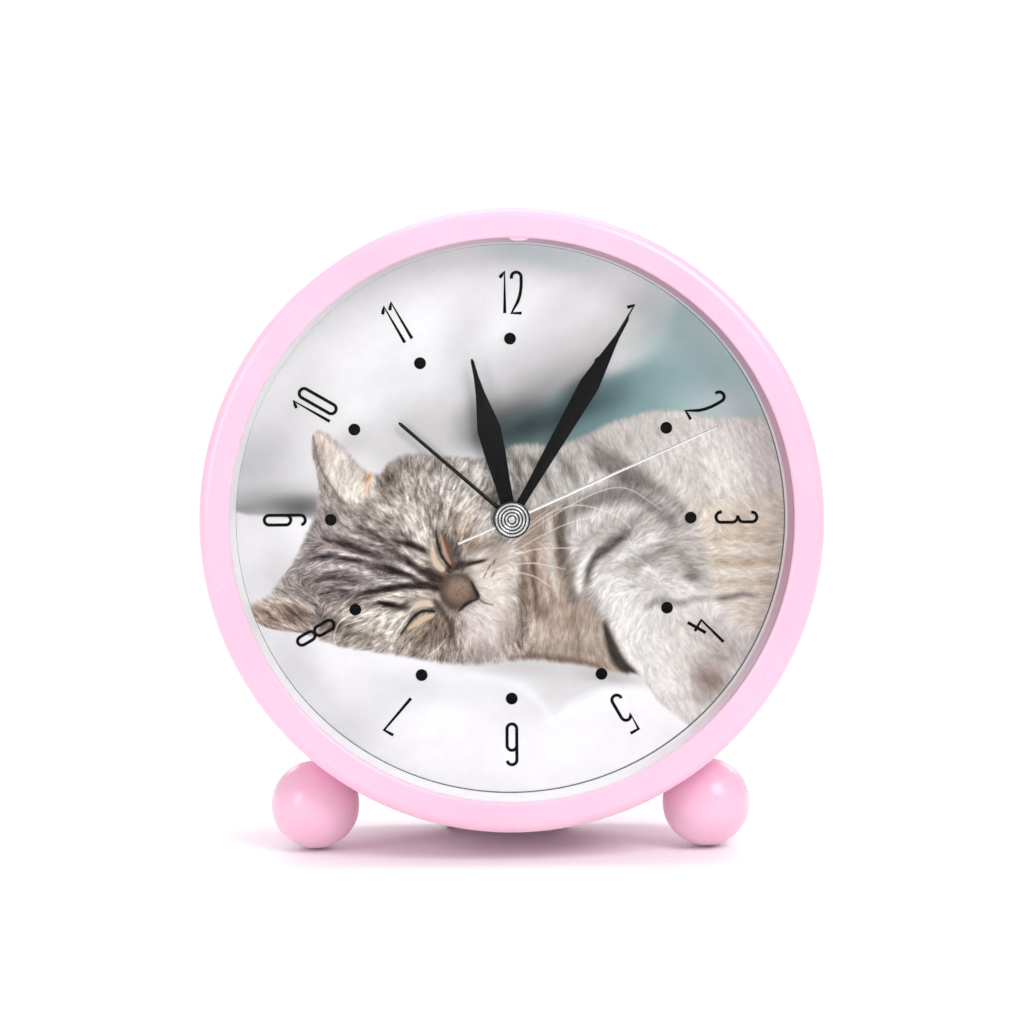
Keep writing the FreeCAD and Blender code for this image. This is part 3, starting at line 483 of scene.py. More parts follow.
def smoothCurve(points, closed, steps=7):   # a soft line through given points
    marks = np.array(points, float)
    count = len(marks)
    found = []
    for i in range(count if closed else count - 1):
        near = [i + k for k in (-1, 0, 1, 2)]
        a, b, c, d = (marks[k % count if closed else min(max(k, 0), count - 1)] for k in near)
        for t in np.arange(steps) / steps:
            cubic = (2 * a - 5 * b + 4 * c - d) * t ** 2 + (3 * b - a - 3 * c + d) * t ** 3
            found.append(0.5 * (2 * b + (c - a) * t + cubic))
    if not closed:
        found.append(marks[-1])
    return np.array(found)


def sheetPart(line, margin):   # the part of the sheet that a patch can reach
    low = np.floor((line.min(0) - margin + picture["half"]) / gridStep).astype(int)
    high = np.ceil((line.max(0) + margin + picture["half"]) / gridStep).astype(int) + 1
    low, high = np.clip(low, 0, picture["cells"]), np.clip(high, 0, picture["cells"])
    return slice(low[1], high[1]), slice(low[0], high[0])


def fade(value, low, high):
    t = np.clip((value - low) / (high - low), 0, 1)
    return t * t * (3 - 2 * t)


def besideLine(x, z, a, b):   # how far along a stretch of line each place is, and how far off it
    dx, dz = b - a
    along = np.clip(((x - a[0]) * dx + (z - a[1]) * dz) / (dx * dx + dz * dz + 1e-12), 0, 1)
    return along, np.hypot(x - a[0] - along * dx, z - a[1] - along * dz)


def patchMask(points, blur):
    line = smoothCurve(points, True)
    rows, columns = sheetPart(line, blur + 0.3)
    x, z = gridX[rows, columns], gridZ[rows, columns]
    near = np.full(x.shape, np.inf)
    inside = np.zeros(x.shape, bool)
    for a, b in zip(line, np.roll(line, -1, 0)):
        near = np.minimum(near, besideLine(x, z, a, b)[1])
        dx, dz = b - a
        crossing = dx * (z - a[1]) / (dz + 1e-12 * (dz == 0)) + a[0]
        inside ^= ((a[1] > z) != (b[1] > z)) & (x < crossing)
    return rows, columns, fade(np.where(inside, near, -near), -blur, blur)


def bandMask(points, width, blur):
    line = smoothCurve(points, False)
    halves = np.interp(np.linspace(0, 1, len(line)), np.linspace(0, 1, len(width)), width) / 2
    rows, columns = sheetPart(line, max(width) / 2 + blur + 0.2)
    x, z = gridX[rows, columns], gridZ[rows, columns]
    depth = np.full(x.shape, -np.inf)
    for a, b, halfA, halfB in zip(line, line[1:], halves, halves[1:]):
        along, gap = besideLine(x, z, a, b)
        depth = np.maximum(depth, halfA + (halfB - halfA) * along - gap)
    return rows, columns, fade(depth, -blur, blur)


def lay(canvas, colour, mask, strength):
    rows, columns, cover = mask
    canvas[rows, columns] += (tint(colour) - canvas[rows, columns]) * (cover * strength)[..., None]


def patch(canvas, colour, blur, points, strength=1.0):   # a soft-edged area
    lay(canvas, colour, patchMask(points, blur), strength)


def band(canvas, colour, width, blur, points, strength=1.0):   # a soft stripe, with its widths along the way
    lay(canvas, colour, bandMask(points, width, blur), strength)


# a soft oval, turned in degrees
def spot(canvas, colour, x, z, radiusX, radiusZ, turn, strength=1.0, blur=1.0):
    c, s = math.cos(math.radians(turn)), math.sin(math.radians(turn))
    rows, columns = sheetPart(np.array([[x, z]]), max(radiusX, radiusZ) * (1 + blur) + 0.3)
    dx, dz = gridX[rows, columns] - x, gridZ[rows, columns] - z
    away = np.hypot((dx * c + dz * s) / radiusX, (dz * c - dx * s) / radiusZ)
    lay(canvas, colour, (rows, columns, 1 - fade(away, max(0.0, 1 - blur), 1 + blur)), strength)


def layAll(canvas, brush, strokes):
    for stroke in strokes:
        brush(canvas, *stroke)


def cloud(size):   # smooth random field with lumps of this size, from -1 to 1
    count = int(2 * picture["half"] / size) + 3
    lattice = chance.uniform(-1, 1, (count, count))
    place = (gridLine + picture["half"]) / size
    cell = place.astype(int)
    t = fade(place - cell, 0, 1)
    top = lattice[cell][:, cell] * (1 - t) + lattice[cell][:, cell + 1] * t
    low = lattice[cell + 1][:, cell] * (1 - t) + lattice[cell + 1][:, cell + 1] * t
    return top * (1 - t[:, None]) + low * t[:, None]


def clouds(layers):
    return sum(strength * cloud(size) for size, strength in layers)


def flowField(samples):   # hair direction everywhere from listed (x, z, degrees)
    flowX = np.zeros(gridX.shape)
    flowZ = np.zeros(gridX.shape)
    for x, z, turn in samples:
        weight = 1 / ((gridX - x) ** 2 + (gridZ - z) ** 2 + 2.0) ** 1.7
        flowX += weight * math.cos(math.radians(turn))
        flowZ += weight * math.sin(math.radians(turn))
    size = np.hypot(flowX, flowZ) + 1e-9
    return flowX / size, flowZ / size


def comb(image, flow, length, steps):   # drags each value along the hair
    total = image.copy()
    stride = length / steps / gridStep
    last = picture["cells"] - 1
    for sign in (1, -1):
        column, row = np.meshgrid(np.arange(last + 1.0), np.arange(last + 1.0))
        for _ in range(steps):
            c, r = column.round().astype(int), row.round().astype(int)
            column = np.clip(column + sign * stride * flow[0][r, c], 0, last)
            row = np.clip(row + sign * stride * flow[1][r, c], 0, last)
            total += image[row.round().astype(int), column.round().astype(int)]
    return total / (2 * steps + 1)


def softened(image, reach):   # a blur of this reach, in millimetres
    half = int(reach / gridStep)
    weights = np.hanning(2 * half + 3)[1:-1]
    weights = weights / weights.sum()
    padded = np.pad(image, ((half, half), (half, half), (0, 0)), "edge")
    tall = sum(weight * padded[k:k + image.shape[0]] for k, weight in enumerate(weights))
    return sum(weight * tall[:, k:k + image.shape[1]] for k, weight in enumerate(weights))


catOutline = [(-34.8, 15.2), (-32.9, 15.4), (-29.6, 12.8), (-25.8, 8.8), (-23.1, 8.1), (-21.5, 10),
              (-18.8, 11.3), (-15.6, 11.5), (-11.7, 11), (-8.4, 11), (-5.1, 10.6), (-1.9, 11.6),
              (0.6, 13), (3.9, 13.2), (8.6, 13), (12.2, 14.3), (18.1, 17), (24.6, 18.9), (29.5, 19),
              (34.4, 17.8), (41, 17.7), (46, 17), (52, 10), (54, -8), (50, -24), (40, -38), (33, -37.5),
              (29.6, -35.4), (26, -32.4), (23.6, -29), (21.8, -27.6), (18.6, -27.4), (12.3, -25.9),
              (7.7, -25.4), (2.6, -24.9), (-6.1, -25.7), (-12.4, -25.4), (-21.6, -23.8), (-30.4, -22.4),
              (-35, -20.6), (-38.5, -19.7), (-42, -19.3), (-45.2, -17.8), (-45.9, -14.9), (-42.8, -13.4),
              (-41.4, -11.4), (-38.4, -7.4), (-36.2, -2.9), (-34.6, 0.8), (-33.9, 5), (-34.4, 9),
              (-35.1, 12)]

hairFlow = [(-14, -9, 160), (-25, -6, 168), (-32, -10, 185), (-36, -6, 200), (-34, 0, 120), (-26, 1, 145),
            (-20, 3, 128), (-16.5, 2, 112), (-17, 9, 95), (-8, 7, 62), (-9, -2, 65), (-5, 0, 52),
            (-2, -5, 35), (-2, -10, 10), (-4, -16, -30), (-6, -21, -75), (-12, -21, -100),
            (-19, -20, 232), (-24, -15, 190), (-28, -19, 205), (-43, -16, -32), (-38, -15, -30),
            (-31, 9, 80), (-27, 6, 75), (3, -10, -85), (4, -19, -95), (10, -21, -88), (8, 4, 105),
            (3, 9, 100), (14, 2, 66), (20, 3, 60), (27, 1, 38), (17, -6, 215), (15, -12, 230),
            (22, -9, 150), (26, -5, 20), (31, -8, -10), (22, -18, -115), (28, -22, -62), (36, -24, -50),
            (38, 6, 118), (27, 12, 108), (18, 10, 125), (44, -6, 178), (42, -14, 175), (20, -25, -60)]


def paintBlankets(canvas):
    canvas[:] = tint("ecebee")
    layAll(canvas, spot, [
        ("f6f6f8", -20, 38, 22, 12, 20), ("dddbdd", -18, 19, 13, 7, 10, 0.8), ("f5f4f6", -34, 24, 10, 9, 50),
        ("cbc9ca", -12, 14, 8, 3.6, 25, 0.85), ("d3d1d2", -23, 13, 6, 3, -20, 0.7),
        ("bdbbbd", -29, 13.5, 3.4, 1.8, 25, 0.5), ("f3f3f5", -14, 24, 9, 4, 20, 0.7),
        ("f4f3f5", 12, 39, 12, 6, -15, 0.8), ("d4d2d4", -8, 32, 9, 3, 75, 0.5),
        ("d6d4d6", 9, 37, 4, 2.4, 30, 0.5), ("cfcdce", 14, 29, 11, 4.2, 35, 0.75),
        ("d2cdca", 25, 34, 4.6, 5.4, 0, 0.8), ("c6c4c6", 2, 26, 12, 4.5, 30, 0.7),
        ("9a9898", 4, 21, 9, 3.4, 28, 0.95), ("6a6869", -1.5, 17, 6, 2.6, 25, 0.95),
        ("e3e2e4", -40, 14, 9, 7, 60, 0.9), ("c9c9ca", -45.5, 9, 5.5, 5, 60, 0.9),
        ("dbdadb", -40, 5, 8, 4, 10, 0.8),
    ])
    # the shadow that the pillow's far edge lies in
    layAll(canvas, spot, [
        ("a5a5a6", -42.5, 2.6, 8, 2.4, 4, 0.95), ("666566", -37.2, 2.2, 4.4, 1.7, 2, 0.95),
        ("8a898a", -46, 1.6, 4, 1, 2, 0.7), ("cdcbcc", -15, 18, 6.5, 3.2, 10, 0.6),
    ])
    # teal cushion behind
    teal = [(-3, 15.6), (1, 17.8), (5, 19.6), (9.2, 21.8), (14.1, 23.8), (18.7, 25.2), (23.3, 27.4),
            (27, 30.6), (28.6, 34.2), (29.6, 37.2), (32.4, 39.4), (44, 36), (52, 22), (50, 12), (30, 10),
            (8, 8), (0, 8)]
    patch(canvas, "8fa9ab", 1.6, teal)
    layAll(canvas, spot, [
        ("bcd2d3", 38, 31, 13, 9, -40), ("b3cacb", 42, 22, 7, 6, 0), ("a7c0c1", 31, 27, 7, 5, -20, 0.9),
        ("6d898d", 20, 21.5, 8, 3.4, 25, 0.95), ("8fabae", 28, 22.5, 6, 3.2, 10, 0.7),
        ("4c6165", 11, 18.4, 7.5, 3, 25, 0.95), ("333d3f", 2.5, 16.2, 5.5, 2.6, 20, 0.95),
        ("7d999c", 13, 15.6, 6, 2, 18, 0.7), ("cfdfe0", 6, 46.5, 9, 2.4, -8, 0.8),
        ("cfd4d6", 38, 19.5, 6.5, 3, 0, 0.6), ("4d5a5c", 12, 23, 3.4, 1.4, 30, 0.6),
        ("a3a1a2", -6.4, 17.8, 3.4, 2.2, 20, 0.75),
    ])
    # near pillow, left of the head
    pillow = [(-54, 0.9), (-46, 0.9), (-40, 0.5), (-35.5, 0.2), (-30, -4), (-32, -20), (-54, -20)]
    patch(canvas, "f3f2f5", 0.45, pillow)
    layAll(canvas, spot, [
        ("dcdade", -40.5, -8, 3.2, 6.5, 35, 0.7), ("fbfafc", -44.5, -4, 5, 4, 0, 0.8),
    ])
    # near blanket
    blanket = [(-54, -15), (-46, -18.6), (-36, -19), (-20, -21), (0, -22), (16, -24), (24, -26),
               (40, -34), (56, -40), (40, -60), (-40, -60)]
    patch(canvas, "f6f5f9", 0.5, blanket)
    layAll(canvas, spot, [
        ("dfdfe3", -27, -36.5, 9, 4, 35, 0.75), ("e3e3e7", -37, -26, 3, 6, 30, 0.6),
        ("e2e2e5", -16, -29.5, 9, 2.2, -8, 0.7), ("e9e8ec", -2, -33, 5, 8, 25, 0.7),
        ("cbc9c8", 6, -26.6, 13, 2, -6, 0.9), ("d6d5d5", 9, -30, 6, 4.5, 40, 0.85),
        ("bdbab9", 17.5, -28.2, 4.5, 1.3, -10, 0.8),
    ])
    layAll(canvas, band, [
        ("fbfafd", [1.5, 4.6, 3], 1.4, [(6.5, -35.8), (11.4, -33.8), (17, -32.4), (23, -32.2),
         (30, -36.6)], 0.9),
        ("f9f8fb", [1, 1.8, 1], 0.9, [(-8, -27.6), (-1, -28.8), (3.6, -31.2), (6, -34)], 0.7),
        ("dedde2", [0.8, 1.4, 0.8], 0.8, [(7.6, -34.4), (10.8, -30.9), (15.2, -29.2)], 0.7),
    ])
    spot(canvas, "fcfbff", 2, -43, 30, 7, 0, 0.8)


def paintCoat(canvas):   # the cat's colours under the hair
    canvas[:] = tint("a89c95")
    # body, back and far side
    patch(canvas, "d9d3cf", 2.5, [(-2, 12), (10, 14), (20, 18), (34, 20), (56, 18), (56, -26), (36, -22),
          (34, -8), (28, 4), (12, 4), (0, 6)])
    layAll(canvas, spot, [
        ("b5aea9", 13, 12.3, 5.4, 2, 20, 0.8), ("8d8481", 16.8, 10.6, 3.6, 1.9, -25, 0.9),
    ])
    layAll(canvas, band, [
        ("8a7f7b", [2, 3.8, 3.6, 2], 1.4, [(15.5, 11.4), (20.5, 8), (25.4, 4.8), (30, 0.8)], 0.95),
        ("6b615e", [1, 2.4, 1.2], 1.1, [(20, 7), (24.6, 4.8), (29.2, 1.6)], 0.8),
    ])
    layAll(canvas, spot, [
        ("efe9e4", 36.5, 10, 9, 6.4, -30, 0.95), ("c7bfbb", 25, 14.8, 7, 2.4, 10, 0.7),
        ("cbc4c0", 33, 6.4, 3.4, 1.8, -60, 0.5),
    ])
    patch(canvas, "ded2c4", 2.6, [(33, 2.5), (40, 3.5), (52, 3), (52, -22), (42, -20), (36.6, -14),
          (33.4, -6)])
    layAll(canvas, band, [
        ("cbb79c", [1, 1.6, 1], 0.9, [(36, -4), (41, -3.4), (46, -4.2)], 0.8),
        ("c3ae92", [1, 1.8, 1], 0.9, [(36, -7.6), (41, -8.2), (46.5, -7.6)], 0.7),
        ("cdbca5", [1, 2, 1], 1, [(37, -11.4), (42, -11.2), (47, -12)], 0.7),
        ("e9dfd3", [1, 2.2, 1], 1, [(35.6, -9.6), (41, -10), (47, -9.6)], 0.7),
    ])
    spot(canvas, "d8c5ae", 41, -1, 4.4, 1.6, -6, 0.8)
    # back beside the hub
    patch(canvas, "cdc6c0", 1.4, [(-3.6, 11.6), (2, 13.4), (8, 13.2), (13.5, 13), (13, 6), (8, 2.4),
          (2, 1.5), (-2, 4)])
    layAll(canvas, band, [
        ("8a827c", [0.8, 1.6, 0.6], 0.8, [(3, 10.8), (5.8, 8.2), (7, 4.4)], 0.8),
        ("968e88", [0.8, 1.8, 0.6], 0.8, [(8.2, 11.4), (10.8, 8.4), (12, 5.4)], 0.7),
        ("7d7570", [1.2, 1.6, 0.8], 0.7, [(-1, 11.8), (1.2, 10), (1.6, 7)], 0.6),
    ])
    layAll(canvas, spot, [
        ("d6cdc7", 5.6, 0.6, 3.2, 2.6, 0, 0.85), ("7f7674", 19.6, 7.4, 4.6, 1.4, -34, 0.55),
        ("cfc6c2", 30.5, 7, 4, 3, -30, 0.5), ("d9d2cf", 31, 12.6, 5, 2.6, 0, 0.5),
    ])
    band(canvas, "e2ddd8", [1, 1.8, 0.8], 0.8, [(5, 12), (8, 8.4), (9.2, 4.4)], 0.7)
    # neck and chest
    patch(canvas, "b19b8b", 1, [(-0.6, -1), (4, 1.5), (8.6, 1.5), (10, -6), (12, -14), (18, -20),
          (20.4, -27.5), (8, -27), (-3, -27), (0, -14)])
    layAll(canvas, band, [
        ("755f50", [1.4, 1.9, 2.2, 2.6], 0.8, [(1.2, -4.4), (1.9, -10), (2, -16), (0.6, -23.6)], 0.9),
        ("4d3c33", [0.5, 0.9, 1.1], 0.5, [(1.5, -12), (1.3, -17), (-0.4, -23.8)], 0.85),
        ("6f5645", [0.5, 1.1, 0.7], 0.5, [(4.2, -5.4), (3.9, -9.6), (4.4, -14.2)], 0.8),
        ("c9b3a2", [0.8, 1.4, 0.8], 0.6, [(5.4, -3.4), (5.6, -8.6), (6.4, -14.6)], 0.8),
        ("d3c9be", [1, 1.9, 1.5, 0.8], 0.7, [(6.4, 0.6), (6.9, -3.6), (7.1, -8.8), (8.2, -13.6)], 0.95),
        ("6f655e", [1, 1.7, 1.8, 1.6], 0.7, [(9.3, 2.2), (8.7, -2), (9.2, -7.4), (11, -14.2)], 0.95),
    ])
    layAll(canvas, spot, [
        ("bfa897", 7.2, -18.6, 3.6, 2.6, 0, 0.8), ("8b7466", 5, -16.4, 1.8, 1.3, 0, 0.8),
        ("927b6d", 11.6, -19.8, 1.7, 2.6, 25, 0.85), ("cbbdb0", 4.6, -21.6, 2, 3, 10, 0.85),
        ("d0c2b5", 13.6, -21.8, 1.3, 3, 15, 0.8), ("c4b4a6", 9.4, -22.4, 1.6, 2.4, 0, 0.8),
        ("8f7f77", 0.6, -23.6, 2.8, 2.4, 0, 0.9), ("a5917f", 6, -23.6, 3, 1.6, 0, 0.55),
        ("96826f", 12.4, -23.6, 3.6, 2.2, 0, 0.6), ("bfafa5", 11.6, -11.6, 2.2, 3, 20, 0.5),
    ])
    band(canvas, "5e4c42", [0.7, 1, 0.8, 0.7], 0.5, [(-2.5, -25.2), (3, -24.6), (9.4, -25.1),
         (15.6, -26.4)], 0.85)
    # shoulder and its stripes
    patch(canvas, "c3bcb8", 1, [(10.4, 1.4), (14.6, 4.2), (20, 5.4), (26, 4.4), (31, 0), (34, -6),
          (34.6, -12), (30, -13), (22, -12), (16.4, -16), (13, -12), (10.8, -7)])
    layAll(canvas, band, [
        ("8b8380", [1.6, 2.8, 2.6, 2], 1, [(11.8, 1.6), (17, 4.2), (23, 3.6), (28.6, -0.8)], 0.9),
        ("ddd8d5", [1, 2.2, 2, 1.2], 0.8, [(11, -5.6), (12.6, -1.6), (16.2, 0.8), (21, 1.2)], 0.95),
        ("66605d", [0.8, 1.4, 1.9, 1], 0.6, [(13.4, -11.2), (14.2, -7.6), (17.2, -5.2), (20.6, -2.6)], 0.95),
        ("ece8e5", [0.9, 1.5, 1.2], 0.6, [(12, -13), (12.4, -9), (14.2, -5.4)], 0.9),
        ("8d8683", [0.8, 1.2, 0.9], 0.6, [(17.2, -4.4), (19.6, -1.8), (23.4, 0.2)], 0.6),
        ("e6e2df", [1.2, 2.4, 1.8], 0.9, [(17.4, -8.4), (20.6, -5.8), (25.6, -3.4)], 0.9),
        ("9c9591", [0.9, 1.7, 1.5], 0.9, [(20.2, -11.4), (23, -7.8), (27.4, -5.8)], 0.85),
        ("a29b95", [1.2, 2, 1.2], 0.9, [(27.6, -5), (30.6, -6.8), (32, -9.4)], 0.75),
    ])
    spot(canvas, "857d7a", 32.3, -10.4, 1.3, 0.9, 20, 0.85)
    # foreleg and paw
    patch(canvas, "e6e1de", 1.2, [(14.2, -10.6), (16.4, -9.2), (20.6, -10.2), (25, -8.8), (30.4, -11.2),
          (34.8, -13), (40, -18.6), (49, -24), (46, -40), (36, -40), (28.6, -35.6), (24, -29.8),
          (20.6, -25.6), (18.2, -20), (16, -15.6)])
    layAll(canvas, spot, [
        ("d7d2ce", 23.4, -12.6, 2, 2.8, 25, 0.75), ("f3f0ed", 20.6, -18, 3.6, 5.4, 20, 0.8),
        ("d5cecb", 30, -17.6, 3.4, 1.8, 0, 0.6), ("d3ccc8", 25.4, -11.6, 3, 1.6, 0, 0.6),
    ])
    layAll(canvas, band, [
        ("8b8481", [0.7, 1.2, 0.9, 0.7, 0.5], 0.6, [(23.8, -15.8), (26.2, -14.8), (30, -15.1),
         (33, -14.3), (35, -14.4)], 0.8),
        ("7c7571", [0.6, 1.1, 0.9, 0.5], 0.6, [(36.4, -14.4), (38.6, -14.1), (41, -13.6),
         (43, -13.9)], 0.75),
    ])
    layAll(canvas, spot, [
        ("dcd6d1", 30, -19.6, 4.4, 2.8, -20, 0.6), ("c6beb9", 36.6, -21.6, 4, 3, -30, 0.75),
        ("b7aca6", 37.4, -24.6, 3, 1.7, 20, 0.85), ("b5a79f", 33.4, -27.4, 3.8, 2.8, -30, 0.7),
        ("977f77", 35.1, -28.9, 2.5, 2, -25, 0.9), ("a8988f", 33, -31.8, 1.7, 1.3, 0, 0.6),
        ("f3efeb", 27.4, -27.4, 3.4, 4.6, 30, 0.7),
    ])
    band(canvas, "3f3835", [0.5, 1.7, 2.1, 1.5], 0.6, [(16.4, -18.4), (17.5, -22), (18.9, -25.2),
         (21.4, -27.6)], 0.95)


def paintHead(canvas):
    head = [(-35.6, 2), (-34, 6), (-30, 7), (-25, 8), (-22, 9), (-19, 11), (-14, 11.5), (-7, 11),
            (-2.6, 9.4), (0.6, 3), (1.6, -4), (1.2, -12), (0.8, -19), (-1, -24.6), (-8, -26), (-20, -25),
            (-33, -22), (-38, -18), (-44, -12), (-38, -6)]
    patch(canvas, "a59a93", 0.9, head)
    # back of the head, ruff and brow
    spot(canvas, "8f8685", -34, -4.5, 3, 6, -22, 0.8)
    patch(canvas, "8a7d7b", 1.8, [(-36.5, -9), (-32, -2.6), (-26.5, -2), (-20, -4.6), (-15, -9.4),
          (-19, -12.2), (-28, -14.2), (-35.5, -13.5)])
    layAll(canvas, band, [
        ("4e4446", [0.4, 1, 1.3, 0.6], 0.5, [(-33, -3.6), (-29.4, -4.2), (-26, -5.6), (-23, -6.4)], 0.8),
        ("574d4f", [0.4, 0.9, 1, 0.5], 0.45, [(-35, -7), (-31, -6.4), (-28, -7.2), (-25.4, -7.6)], 0.75),
        ("483f40", [0.4, 0.9, 1.2, 0.8], 0.45, [(-28.4, -8.8), (-24.4, -8.2), (-20.1, -9.2),
         (-15.3, -11.6)], 0.85),
        ("50474a", [0.4, 0.9, 1, 0.5], 0.45, [(-34.4, -10.6), (-31, -10.2), (-28, -10.6),
         (-24.4, -10.4)], 0.75),
        ("584e4d", [0.4, 0.8, 0.9, 0.4], 0.4, [(-27, -1), (-24.6, -2.2), (-22.4, -3.8), (-19.8, -5.4)], 0.6),
        ("5f5552", [0.3, 0.8, 0.8, 0.3], 0.4, [(-17.6, 5.6), (-16.6, 3.2), (-16.4, 1), (-15.6, -1.4)], 0.65),
        ("5c524f", [0.3, 0.7, 0.8, 0.3], 0.4, [(-11.4, 7.4), (-11.8, 4.6), (-12.2, 2), (-11.6, -0.8)], 0.65),
        ("74695f", [0.3, 0.6, 0.6, 0.3], 0.4, [(-8, 5.6), (-8.8, 2.8), (-9.4, 0.4), (-9.8, -2.4)], 0.6),
    ])
    layAll(canvas, spot, [
        ("b3abac", -33.4, -8.2, 2.6, 1, 10, 0.85), ("aaa1a2", -27, -8.6, 3.6, 0.8, -4, 0.75),
        ("b0a8a8", -23, -10.8, 5, 0.8, -3, 0.85), ("685d5d", -29.4, -12.6, 2.4, 1.2, 0, 0.8),
        ("c9beb4", -18.6, 1.8, 5.8, 2.2, -38, 0.9), ("ded4ca", -16.2, -1.8, 2.6, 1.3, -55, 0.9),
        ("c4b9b0", -23.6, 2.6, 2.6, 1.2, -40, 0.8), ("95897f", -21.8, 5.4, 2.6, 1.2, 70, 0.7),
        ("70655e", -20.9, 7.6, 2.2, 1.7, 50, 0.9), ("a2978f", -17.2, 9.6, 3.2, 1.6, 0, 0.8),
        ("bdb3ab", -16.8, 6.4, 2.4, 1.8, 20, 0.8), ("877c75", -13, 6.6, 1.5, 3, 0, 0.85),
        ("c9bfb6", -10.2, 3.6, 1.8, 4.2, 10, 0.85), ("9c9188", -8.4, 9, 2.6, 1.2, 20, 0.7),
        ("d6ccc3", -6.8, 6, 1.4, 3, 20, 0.8), ("9f9187", -5, 2.4, 1.8, 3, 15, 0.7),
        ("aa9a8c", -8.6, -0.4, 2.2, 3.4, 25, 0.85), ("b5967f", -7.4, -3.4, 1.6, 1.8, 20, 0.8),
        ("5d5049", -10.4, -5.6, 1.3, 3, 22, 0.85), ("ddc7b0", -3.8, -2.2, 2, 1.7, 40, 0.9),
    ])
    # stripes from the nose to the brow
    for points in ([(-31, -2), (-28, -2.6), (-24.8, -3.8)], [(-33.6, -5.4), (-29.4, -6), (-25.6, -6.8)],
                   [(-32.6, -8.8), (-29.6, -8.4), (-25.4, -9.4)],
                   [(-22, -7.6), (-18.6, -8.6), (-15.4, -10.4)],
                   [(-19.8, -1.2), (-17.4, -2.6), (-15.4, -3.4)],
                   [(-30.4, -12), (-26, -11.8), (-20.4, -10.8)]):
        band(canvas, "b9b0ac", [0.3, 0.9, 0.4], 0.4, points, 0.7)
    layAll(canvas, band, [
        ("4f4743", [0.5, 1.3, 0.8], 0.45, [(-20.6, -3.7), (-17.6, -4.5), (-14.9, -5.7)], 0.95),
        ("5e5450", [0.7, 1.2, 1.4, 1], 0.5, [(-21.8, -5.2), (-18.4, -7), (-15.6, -9.2),
         (-12.8, -10.2)], 0.85),
        ("b5aaa1", [0.7, 1.2, 0.8], 0.5, [(-19.4, -5.6), (-16.6, -7), (-14.2, -8.8)], 0.7),
        ("534a48", [0.5, 1, 1.2, 1.2], 0.45, [(-26.2, -13.1), (-21.6, -12.2), (-17, -11.8),
         (-13, -12)], 0.9),
        ("bdb2a7", [0.8, 1.3, 1.4, 0.9], 0.5, [(-24.4, -14.3), (-21, -13.6), (-17.4, -13.2),
         (-14.2, -13.2)], 0.85),
        ("413833", [0.5, 1, 0.6], 0.4, [(-23.6, -14.6), (-21, -15.2), (-18.2, -15.7)], 0.95),
    ])
    spot(canvas, "3d322d", -13.3, -10, 1.9, 1.3, -30, 0.9)
    # cheeks and the lower side of the face
    patch(canvas, "c9beb3", 1.4, [(-30, -16.4), (-24, -15.8), (-19, -17), (-18.6, -19.4), (-21, -22.4),
          (-28, -21)])
    layAll(canvas, spot, [
        ("e2d9d0", -22, -17.6, 3, 1, -8, 0.85), ("8b7f76", -28.6, -20, 4.2, 1.4, -12, 0.8),
        ("6c5f57", -33, -18, 2.4, 1.3, -25, 0.8), ("7f6f5f", -15.2, -20.8, 3.4, 2.4, 20, 0.9),
        ("a1927f", -16.6, -19, 1.4, 1.2, 30, 0.7), ("c3b7ad", -20.4, -22.8, 2.4, 1.2, 0, 0.7),
        ("998b7f", -13.2, -24, 2.4, 1.2, 0, 0.8),
    ])
    # muzzle
    patch(canvas, "e6d8ce", 1.1, [(-6.6, -6.6), (-2.4, -4.8), (0.8, -5.4), (1, -12), (0.6, -18),
          (-1.4, -24.4), (-6.4, -25.6), (-9.4, -22.6), (-10, -18.2), (-8, -16.4), (-5.2, -14.6),
          (-5.8, -11.4), (-6.8, -9.4)])
    layAll(canvas, spot, [
        ("ddd0d0", -4.6, -20, 3, 4, 10, 0.8), ("f2e9e2", -2.4, -12, 1.9, 2.2, 0, 0.9),
        ("cbb9a6", -3, -7.4, 2.2, 1.3, 30, 0.7), ("b7a79a", -0.6, -23, 1.5, 2.2, 0, 0.85),
        ("a7968a", -9.4, -19.6, 1.2, 1.6, 0, 0.8),
    ])
    # broad lights and darks over the face
    layAll(canvas, spot, [
        ("d8d0ca", -7.2, 7, 4.2, 3.8, 20, 0.85), ("e2d6cd", -5.4, 0.6, 2.6, 3.4, 20, 0.85),
        ("cbc3be", -13.2, 7, 2.4, 3, 0, 0.5), ("e0d0c2", -0.4, -5.6, 2.2, 2.8, 20, 0.85),
        ("544138", -13, -11.2, 2.2, 1.9, -20, 0.65), ("705c52", -12.4, -18.6, 2, 2.8, 15, 0.6),
        ("c6b9b0", 0.6, -12.4, 1.2, 3.4, 0, 0.6), ("ab9b93", 0.6, -19, 2, 3.8, 0, 0.85),
        ("a6968f", -5.4, -24.2, 3.8, 2, 0, 0.85), ("f0e7e1", -4.2, -12.6, 2.4, 3, 20, 0.55),
    ])
    band(canvas, "2f2521", [0.5, 0.9, 0.6, 0.4], 0.35, [(-11.4, -9.2), (-9, -8.2), (-6.4, -7.7),
         (-4.6, -7.3)], 0.95)


